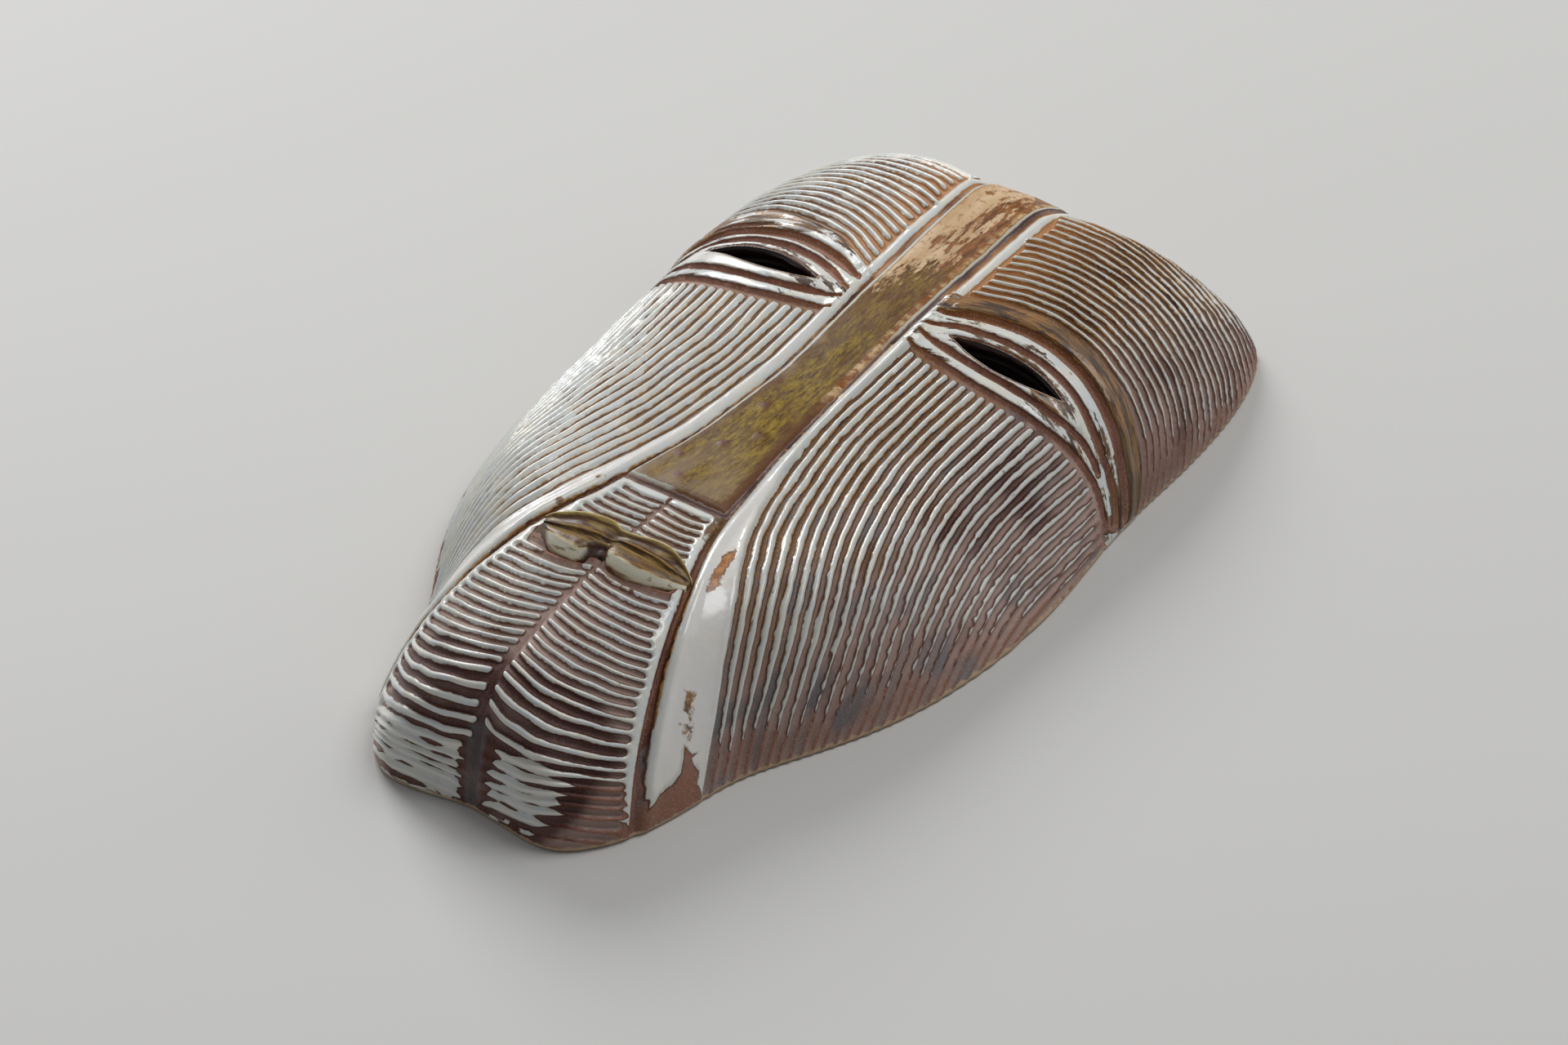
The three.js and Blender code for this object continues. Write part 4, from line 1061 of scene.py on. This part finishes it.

# %% [markdown]
# In the grooves lies a satin slip: mauve-brown where it is thin, warm brown on the brow and by the nose,
# oxblood where it pooled. A ridge that the white missed shows red-brown clay. The slip is darkest right
# beside the white and grainy in the middle of a groove. On the left side it is painted lighter and its
# dark edge weaker, as painted light on that side.

# %% Colours of the slip
grain = noise(objects, 0.42, 2.0, 0.7)
clouds = noise(objects, 7.0, 3.0, 0.6)
small_clouds = noise(objects, 2.2, 3.0, 0.6)
left_side = place_x.rises(-8, -16)
on_cheek = field_w.rises(1.6, 1.4)
is_mouth = field_w.rises(2.4, 2.6) * field_w.rises(3.6, 3.4)
by_bead = bead_w.rises(-24, -5)
by_nose = warm_w.rises(0.2, 0.8) * on_cheek
ridge_top = (comb_w + (small_clouds - 0.5) * 1.6).rises(-0.15, 0.35) * (1 - is_strip)
pooled_red = (oxblood_w + (clouds - 0.5) * 0.5).rises(0.15, 0.95)
grey_bloom = (bloom_w + (clouds - 0.5) * 0.6).rises(0.2, 0.9)
specks = grain.rises(0.5, 0.68) * white_edge.rises(-0.28, -0.6)
# painted light: on the left side the dark edge beside the white is made weaker
edge_dark = (0.66 + by_nose * 0.24 - left_side * 0.2 - by_bead * 0.48) * (1 - is_mouth * 0.35)
beside_white = white_edge.rises(-0.62, -0.14) * white_edge.rises(0.2, -0.1)
slip = layered(
    warm_w.mix((172, 146, 137), (118, 80, 44)),
    # painted light: this coat makes the slip lighter on the left side
    (left_side * 0.2, (190, 168, 148)),
    (by_bead * 0.8, (184, 128, 76)),
    (ridge_top * 0.85, warm_w.mix((146, 97, 78), (132, 80, 40))),
    (pooled_red * 0.85, (68, 22, 14)),
    (grey_bloom * 0.75, (108, 112, 118)),
    (specks * (0.5 - oxblood_w * 0.3), (182, 164, 152)),
    (beside_white * edge_dark, oxblood_w.rises(0.2, 0.8).mix((44, 24, 15), (24, 7, 4))),
)
print("nodes so far:", len(g.tree.nodes))

# %% [markdown]
# The white is milky where it is thick and lets some grey through where it is thin. It breaks to amber
# along its edge.

# %% Colours of the white
thick = (white_edge + (clouds - 0.5) * 0.6).rises(0.9, 2.2)
thin_grey = (on_cheek * (1 - left_side) * 0.5 + left_side * 0.12) * (1 - thick)
milk = layered(
    noise(objects, 8.0, 2.0).rises(0.3, 0.7).mix((222, 219, 207), (210, 215, 214)),
    (thin_grey, (190, 191, 186)),
    (thick * 0.6, (232, 227, 223)),
)
amber = warm_w.rises(0.3, 0.9).mix((104, 62, 34), (178, 130, 66))
amber_share = fringe * noise(objects, 3.0, 2.0).rises(0.3, 0.6) * 0.85
coat = layered(slip, (white, milk), (amber_share, amber))
print("nodes so far:", len(g.tree.nodes))

# %% [markdown]
# Iron bled through the white in places. A stain spreads as fine specks first and closes up where it is
# strong, so its amount only shifts the threshold of a noise.

# %% Stains
mottle = noise(objects, 3.2, 5.0, 0.72)
stain_amount = (stain_w * 0.9 + (mottle - 0.5) * 1.5).rises(0.42, 0.62) * stain_w.rises(0.02, 0.2)
rust_bloom = stain_w.rises(0.55, 0.95) * place_y.rises(-84, -76) * place_x.rises(10, 20) * on_cheek
earth = layered(
    noise(objects, 1.8, 4.0, 0.7).rises(0.4, 0.62).mix((92, 62, 26), (154, 108, 48)),
    (clouds.rises(0.45, 0.6), (100, 72, 40)),
    (rust_bloom * 0.85, mottle.rises(0.4, 0.6).mix((150, 82, 30), (206, 138, 66))),
)
coat = (stain_amount * 0.92).mix(coat, earth)
print("nodes so far:", len(g.tree.nodes))

# %% [markdown]
# The lids were scratched along with a dry tool before glazing, so brown and ochre run in thin lines along
# them. A vector made of the place across and the height over the lid fold follows the bend of the eye,
# and noise read at that vector, squeezed one way, gives the lines.

# %% Scratched lids
along_lid = g.node("ShaderNodeCombineXYZ", {0: place_x * 0.00016, 1: fold_w * 0.001, 2: 0.0})
lines = noise(along_lid, 1.7, 4.0, 0.65)
broad_lines = noise(along_lid, 3.6, 3.0, 0.6)
lid_brown = lines.rises(0.42, 0.58).mix((62, 37, 17), (152, 106, 48))
lid_brown = broad_lines.rises(0.5, 0.62).mix(lid_brown, (106, 82, 52))
lid_threshold = 0.04 + broad_lines * 0.6 + (lines - 0.5) * 1.1 + (mottle - 0.5) * 0.6
lid_shown = (lid_w - lid_threshold).rises(0.0, 0.08) * cut_w.rises(-0.1, 0.2) * lid_w.rises(0.02, 0.1)
coat = (lid_shown * 0.95).mix(coat, lid_brown)
print("nodes so far:", len(g.tree.nodes))

# %% [markdown]
# The nose strip took another glaze: olive and brown below, streaked along its length, and cream with
# rust-brown patches on the forehead. Streaks come from noise that is stretched along the strip by a
# Mapping node.

# %% Nose strip
stretched = g.node("ShaderNodeMapping", {"Vector": objects, "Scale": (1.0, 0.22, 1.0)})
cross_stretched = g.node("ShaderNodeMapping", {"Vector": objects, "Scale": (0.7, 1.0, 1.0)})
streaks = noise(stretched, 1.1, 5.0, 0.75)
streaks_wide = noise(stretched, 4.0, 4.0, 0.65)
half_share = place_x * (1 / 10.5)
pits = noise(objects, 1.1, 2.0).rises(0.58, 0.70)
brown_side = (cut_w + (streaks_wide - 0.5) * 5).rises(5, 0.5)
base_grey = noise(stretched, 8.0, 3.0).rises(0.38, 0.62)
base_grey = (place_y + (streaks_wide - 0.5) * 30).rises(-6, -34) * base_grey
olive = layered(
    streaks.rises(0.34, 0.64).mix((72, 44, 8), (150, 122, 30)),
    (streaks_wide.rises(0.48, 0.60) * 0.7, (96, 60, 20)),
    (pits * 0.55, (76, 46, 34)),
    (brown_side * 0.65, (88, 50, 22)),
    (base_grey * 0.6, (150, 130, 106)),
    ((place_y + (clouds - 0.5) * 34).rises(30, 58) * 0.4, (100, 60, 24)),
)
rusty = noise(stretched, 4.0, 6.0, 0.75) + half_share * 0.13 + (place_y - 128.0).rises(0, 8) * 0.1
cream = layered(
    noise(stretched, 6.0, 3.0).rises(0.3, 0.7).mix((214, 186, 150), (190, 156, 114)),
    (small_clouds.rises(0.56, 0.66) * 0.6, (160, 108, 60)),
    (rusty.rises(0.51, 0.56), streaks.rises(0.4, 0.6).mix((102, 62, 34), (150, 98, 50))),
)
upper = (place_y + (streaks - 0.5) * 50 + (streaks_wide - 0.5) * 60 - half_share * 10).rises(74, 80)
print("nodes so far:", len(g.tree.nodes))

# %% [markdown]
# Along its right edge the cream feathers out over the border. Thin ochre and pale lines follow the scored
# edge, and the few blisters turned mauve.

# %% Edges of the strip and blisters
right_edge = (cut_w + (streaks - 0.5) * 3.5).rises(3.4, 1.6) * half_share.rises(0.2, 0.5)
feather = noise(cross_stretched, 3.4, 6.0, 0.75).rises(0.42, 0.60)
feather_share = right_edge * (place_y + (clouds - 0.5) * 20).rises(8, 24)
edge_noise = cut_w + (fine_noise - 0.5) * 0.4
ochre_line = edge_noise.rises(1.5, 1.2) * place_y.rises(30, 50)
pale_part = (place_y.rises(38, 56) + half_share.rises(0, -0.3)).under(1.0)
strip = layered(
    upper.mix(olive, cream),
    (feather_share, feather.mix((132, 76, 28), (206, 176, 130))),
    (right_edge * place_y.rises(20, 4) * 0.7, (96, 54, 30)),
    (ochre_line * 0.6, (136, 100, 48)),
    (edge_noise.rises(1.0, 0.75) * pale_part * 0.85, (196, 198, 186)),
    (edge_noise.rises(0.2, 0.0), slip),
)
blister = None
for bx, by in BLISTERS:
    gap_x = place_x - bx
    gap_y = place_y - by
    mark = ((gap_x * gap_x + gap_y * gap_y) ** 0.5 + (fine_noise - 0.5)).rises(2.0, 0.8)
    blister = mark if blister is None else blister.over(mark)
coat = layered(coat, (is_strip, strip), (blister * 0.55, (112, 74, 84)))
print("nodes so far:", len(g.tree.nodes))

# %% [markdown]
# The inside was never glazed: it is bare brown stoneware, with a little iron speckle. The walls of the
# slits are painted near-black brown, darker toward the bottom, and the glaze ended in a thin cream line
# right at the rim.

# %% Bare clay, slit walls and the rim line
speckle = noise(objects, 1.2, 3.0, 0.7).rises(0.62, 0.72)
clay = noise(objects, 16.0, 4.0).mix((122, 98, 80), (156, 130, 108))
slit_line = (slit_w + (fine_noise - 0.5) * 0.5).rises(0.1, 0.35) * slit_w.rises(0.85, 0.55)
rim_line = (height_mm + (fine_noise - 0.5) * 1.4).rises(1.7, 1.2) * (1 - is_inside)
coat = layered(
    coat,
    (is_inside, (speckle * 0.6).mix(clay, (70, 46, 34))),
    (slit_line * (1 - is_inside), amber),
    (is_wall, height_mm.rises(36, 43).mix((30, 16, 12), (58, 24, 16))),
    (rim_line * 0.8, (198, 172, 138)),
)
print("nodes so far:", len(g.tree.nodes))

# %% [markdown]
# White glaze is glassy and the slip is satin, so the roughness follows the same edge. The white also gets
# a clear coat over it, thinner on the left. A Bump node rounds the pooled white off at its edge and lets
# the grain of the slip catch the light.

# %% Gloss and fine relief
glassy = white * (1 - stain_amount * 0.6) * (1 - lid_shown * 0.5)
rough = (0.30 + grain * 0.26) * (1 - glassy) + (0.15 + clouds * 0.14) * glassy
rough = rough * (1 - is_strip) + (0.26 + streaks * 0.30) * is_strip
rough = rough * (1 - is_inside) + 0.85 * is_inside
pooled = white_edge.rises(-0.45, 0.6) * (1 - is_strip)
skin_height = pooled * 0.24 + grain * (1 - white) * 0.13 + noise(objects, 2.4, 2.0) * 0.10
skin_height = skin_height + streaks * is_strip * 0.10
skin_height = skin_height * (1 - is_inside) + noise(objects, 1.5, 4.0, 0.7) * is_inside * 0.4
bump = g.node("ShaderNodeBump", {"Height": skin_height, "Strength": 1.0, "Distance": 0.001})
look = {
    "Base Color": coat,
    "Roughness": rough,
    "Normal": bump,
    "IOR": 1.3,
    "Coat Weight": glassy * (0.7 - left_side * 0.35) * (1 - is_strip),
    "Coat Roughness": 0.16,
    "Coat IOR": 1.5,
}
shader = g.node("ShaderNodeBsdfPrincipled", look)
g.node("ShaderNodeOutputMaterial", {"Surface": shader})
carved.materials.clear()
carved.materials.append(glaze_material)
print("nodes in the glaze:", len(glaze_material.node_tree.nodes))

# %% [markdown]
# ## Lips
# The lips were rolled, pinched and laid on before firing. Seen from above they are two leaves that meet
# in the middle: a scooped upper lip, a seam, and a lower lip with a steep front that breaks at a notch.
# Each line along them is a curve from the left end to the right tip, with its height over the face, and a
# grid is bent to them.

# %% Section across the lips
LIPS_SUNK = 2.4
lip_lines = [along_lips(points) for points in (LIP_RIM, LIP_SEAM, LIP_CREST, LIP_FOOT)]
near_lips = (base[..., 0] < 30) & (base[..., 1] > -90) & (base[..., 1] < -60)
ground_x, ground_y, ground_z = base[near_lips].T


def surface_terms(x, y):
    return np.stack([x * 0 + 1, x**2, x**4, y + 75, (y + 75) ** 2, x**2 * (y + 75)], axis=-1)


ground_fit = np.linalg.lstsq(surface_terms(ground_x, ground_y), ground_z, rcond=None)[0]


def lip_section(share):
    """Curve across the lips: from share of the way round to a point, with its height over the face."""
    rim, seam, crest, foot = (line(share) for line in lip_lines)
    back = (rim - foot) * (1, 1, 0)
    back /= np.linalg.norm(back)
    scoop = [rim + (seam - rim) * part for part in (0.28, 0.58, 0.88)]
    belly = [seam + (crest - seam) * part for part in (0.3, 0.72)]
    front = [crest + (foot - crest) * part for part in (0.5, 0.85)]
    knots = [
        (0, rim + back * 1.1, -LIPS_SUNK), (0.06, rim + back * 0.5, 0.5 * rim[2]), (0.12, rim, rim[2]),
        (0.2, scoop[0], scoop[0][2] * 0.74), (0.3, scoop[1], scoop[1][2] * 0.76),
        (0.4, scoop[2], scoop[2][2] * 1.06), (0.46, seam, seam[2] * 0.78),
        (0.52, belly[0], belly[0][2] * 1.04), (0.61, belly[1], belly[1][2] * 1.06),
        (0.68, crest, crest[2] * 0.94), (0.78, front[0], crest[2] * 0.62),
        (0.87, front[1], crest[2] * 0.2), (0.92, foot, -0.5), (1, foot - back * 0.5, -LIPS_SUNK),
    ]
    shares = [knot[0] for knot in knots]
    parts = [[point[axis] for _, point, _ in knots] for axis in (0, 1)] + [[rise for _, _, rise in knots]]
    return [through(list(zip(shares, part))) for part in parts]


# %% [markdown]
# The columns of the grid go along the lips and stand closer toward both ends. The rows go round the
# section, and the last few go back below it, where the lips are sunk in the face. At the ends the doubles
# are merged.

# %% Bend a grid into the lips
LIP_COLUMNS, LIP_ROWS, UNDER_ROWS = 141, 65, 4
lips_bm = bmesh.new()
all_rows = LIP_ROWS + UNDER_ROWS
bmesh.ops.create_grid(lips_bm, x_segments=LIP_COLUMNS - 1, y_segments=all_rows - 1, size=1)
lip_layer = lips_bm.verts.layers.float_vector.new("lip")
sections = {}
for v in lips_bm.verts:
    share = (1 - math.cos(math.pi * (v.co.x + 1) / 2)) / 2
    key = round(share, 6)
    if key not in sections:
        sections[key] = lip_section(share)
    row = (v.co.y + 1) / 2 * (all_rows - 1)
    round_share = min(row / (LIP_ROWS - 1), 1)
    x, y, rise = (float(part(round_share)) for part in sections[key])
    if row > LIP_ROWS - 1:
        back = (row - LIP_ROWS + 1) / UNDER_ROWS
        x += (float(sections[key][0](0)) - x) * back
        y += (float(sections[key][1](0)) - y) * back
    if 0.1 < round_share < 0.9:
        rise += 0.08 * float(wander(x, y, 8, 51))
    ground = float(surface_terms(np.array(x), np.array(y)) @ ground_fit)
    v[lip_layer] = (round_share, x, share)
    v.co = Vector((x, y - CARVING_MIDDLE_Y, ground + rise)) * MM
bmesh.ops.remove_doubles(lips_bm, verts=lips_bm.verts, dist=2e-6)
bmesh.ops.holes_fill(lips_bm, edges=[edge for edge in lips_bm.edges if edge.is_boundary])
bmesh.ops.recalc_face_normals(lips_bm, faces=lips_bm.faces)
for face in lips_bm.faces:
    face.smooth = True
print("lips:", len(lips_bm.faces), "faces,", sum(edge.is_boundary for edge in lips_bm.edges), "open edges")
print("highest point of the lips:", round(max(v.co.z for v in lips_bm.verts) / MM, 2), "mm")
lips = stand("lips", lips_bm)

# %% [markdown]
# Glaze leaves high edges thin and gathers in hollows, so the lips change colour across: a cream edge, a
# dark scoop, amber, a brown seam, olive, an amber line, and a cream front, painted lighter than the glaze
# as painted light, because the lamps behind leave it in shade. A ramp over the share of the way round
# gives that, and stretched noise shifts it, so the bands run in streaks along the lips.

# %% Glaze of the lips
lip_material, w = new_material("lip_glaze")
lip_objects = w.node("ShaderNodeTexCoord", out=3)
lip_share, _, lip_way = attribute(w, "lip")
lip_stretch = w.node("ShaderNodeMapping", {"Vector": lip_objects, "Scale": (0.22, 1.0, 1.0)})
lip_streaks = noise(lip_stretch, 1.4, 4.0, 0.65)
lip_patches = noise(lip_stretch, 3.5, 4.0, 0.6)
shifted = lip_share + (lip_streaks - 0.5) * 0.10 + (lip_patches - 0.5) * 0.08
# the cream of the front, from 0.69 to 0.86, is the glaze's colour painted lighter: painted light on a
# front the lamps leave in shade
bands = (
    (0.0, (60, 40, 30)), (0.085, (206, 198, 156)), (0.13, (186, 162, 96)), (0.17, (92, 62, 40)),
    (0.33, (66, 40, 32)), (0.385, (158, 122, 62)), (0.43, (94, 62, 30)), (0.47, (44, 24, 16)),
    (0.53, (128, 100, 50)), (0.62, (96, 66, 34)), (0.665, (150, 106, 42)), (0.69, (222, 214, 180)),
    (0.76, (240, 237, 220)), (0.86, (232, 226, 196)), (0.91, (110, 70, 40)), (1.0, (40, 22, 16)),
)
on_top = shifted.rises(0.14, 0.2) * shifted.rises(0.69, 0.64)
olive_lip = lip_streaks.rises(0.40, 0.60).mix((58, 32, 24), (150, 122, 62))
notch = (abs(lip_way - 0.46) + (lip_patches - 0.5) * 0.05).rises(0.066, 0.036)
# painted shade: the left end of the lips is darkened to near-black, for the shadow in the gap behind it
shade_at_left_end = lip_way.rises(0.10, 0.04) * lip_share.rises(0.3, 0.45)
amber_streak = lip_share.rises(0.68, 0.74) * noise(lip_stretch, 2.2, 3.0).rises(0.58, 0.66)
lip_colour = layered(
    w.node("ShaderNodeValToRGB", {0: shifted}, stops=bands),
    (on_top * lip_patches.rises(0.42, 0.56) * 0.75, olive_lip),
    (notch * lip_share.rises(0.54, 0.62) * 0.95, (52, 18, 12)),
    (shade_at_left_end * 0.85, (46, 30, 26)),
    (amber_streak * 0.75, (138, 94, 44)),
)
lip_height = lip_streaks * 0.3 + noise(lip_objects, 0.9, 2.0) * 0.1
lip_bump = w.node("ShaderNodeBump", {"Height": lip_height, "Strength": 0.8, "Distance": 0.0006})
shader = w.node(
    "ShaderNodeBsdfPrincipled",
    {"Base Color": lip_colour, "Roughness": 0.22 + lip_patches * 0.3, "Normal": lip_bump, "IOR": 1.45},
)
w.node("ShaderNodeOutputMaterial", {"Surface": shader})
lips.data.materials.append(lip_material)
print("nodes in the lip glaze:", len(lip_material.node_tree.nodes))

# %% [markdown]
# ## Into the frame
# Both meshes ride on the one body and take the place of the CAD shell, which is hidden.

# %% Ride on the body
for piece in (mask, lips):
    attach(piece, "root")
    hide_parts("mask_shell")
    print(piece.name, "rides on root")

# %% [markdown]
# ## Studio
# The mask lies on a pale grey table that has no edge in sight.

# %% Table
floor_bm = bmesh.new()
bmesh.ops.create_grid(floor_bm, x_segments=1, y_segments=1, size=4)
table = stand("table", floor_bm)
table.location.z = -0.0002
table_material, f = new_material("table_grey")
shader = f.node("ShaderNodeBsdfPrincipled", {"Base Color": paint(207, 206, 203), "Roughness": 0.6})
f.node("ShaderNodeOutputMaterial", {"Surface": shader})
table.data.materials.append(table_material)
table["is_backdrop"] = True
print("table:", len(table.data.polygons), "face")

# %% [markdown]
# The big lamp stands low behind the mask, a little to the left, so the shadow of the chin falls softly
# toward the viewer. A second one hangs high over the right side, and two dim panels keep the sides from
# going dark. Directions are measured from the way the camera looks. The Standard view shows colours as
# they were painted, without a film curve.


# %% Light
def soft_lamp(name, azimuth, elevation, size, power, distance=2.2):
    """A disc lamp aimed at the mask; azimuth 0 is behind it as the camera sees it, + is to the right."""
    turned = AZIMUTH - math.radians(azimuth)
    raised = math.radians(elevation)
    level = math.cos(raised)
    place = Vector((-math.sin(turned) * level, math.cos(turned) * level, math.sin(raised)))
    light = bpy.data.lights.new(name, "AREA")
    light.shape = "DISK"
    light.size = size
    light.energy = power
    lamp = stand(name, light)
    lamp.location = place * distance
    lamp.rotation_euler = (-place).to_track_quat("-Z", "Y").to_euler()
    print(name, "at", [round(c, 2) for c in lamp.location])


soft_lamp("big_soft_lamp", -23, 31, 1.1, 30)
soft_lamp("top_lamp", 70, 66, 1.1, 16)
soft_lamp("right_panel", 70, 33, 1.9, 7)
soft_lamp("left_panel", -75, 30, 1.6, 1.8)
world = bpy.data.worlds.new("studio")
world.use_nodes = True
world.node_tree.nodes["Background"].inputs["Color"].default_value = paint(236, 238, 242)
world.node_tree.nodes["Background"].inputs["Strength"].default_value = 0.22
bpy.context.scene.world = world
bpy.context.scene.view_settings.view_transform = "Standard"
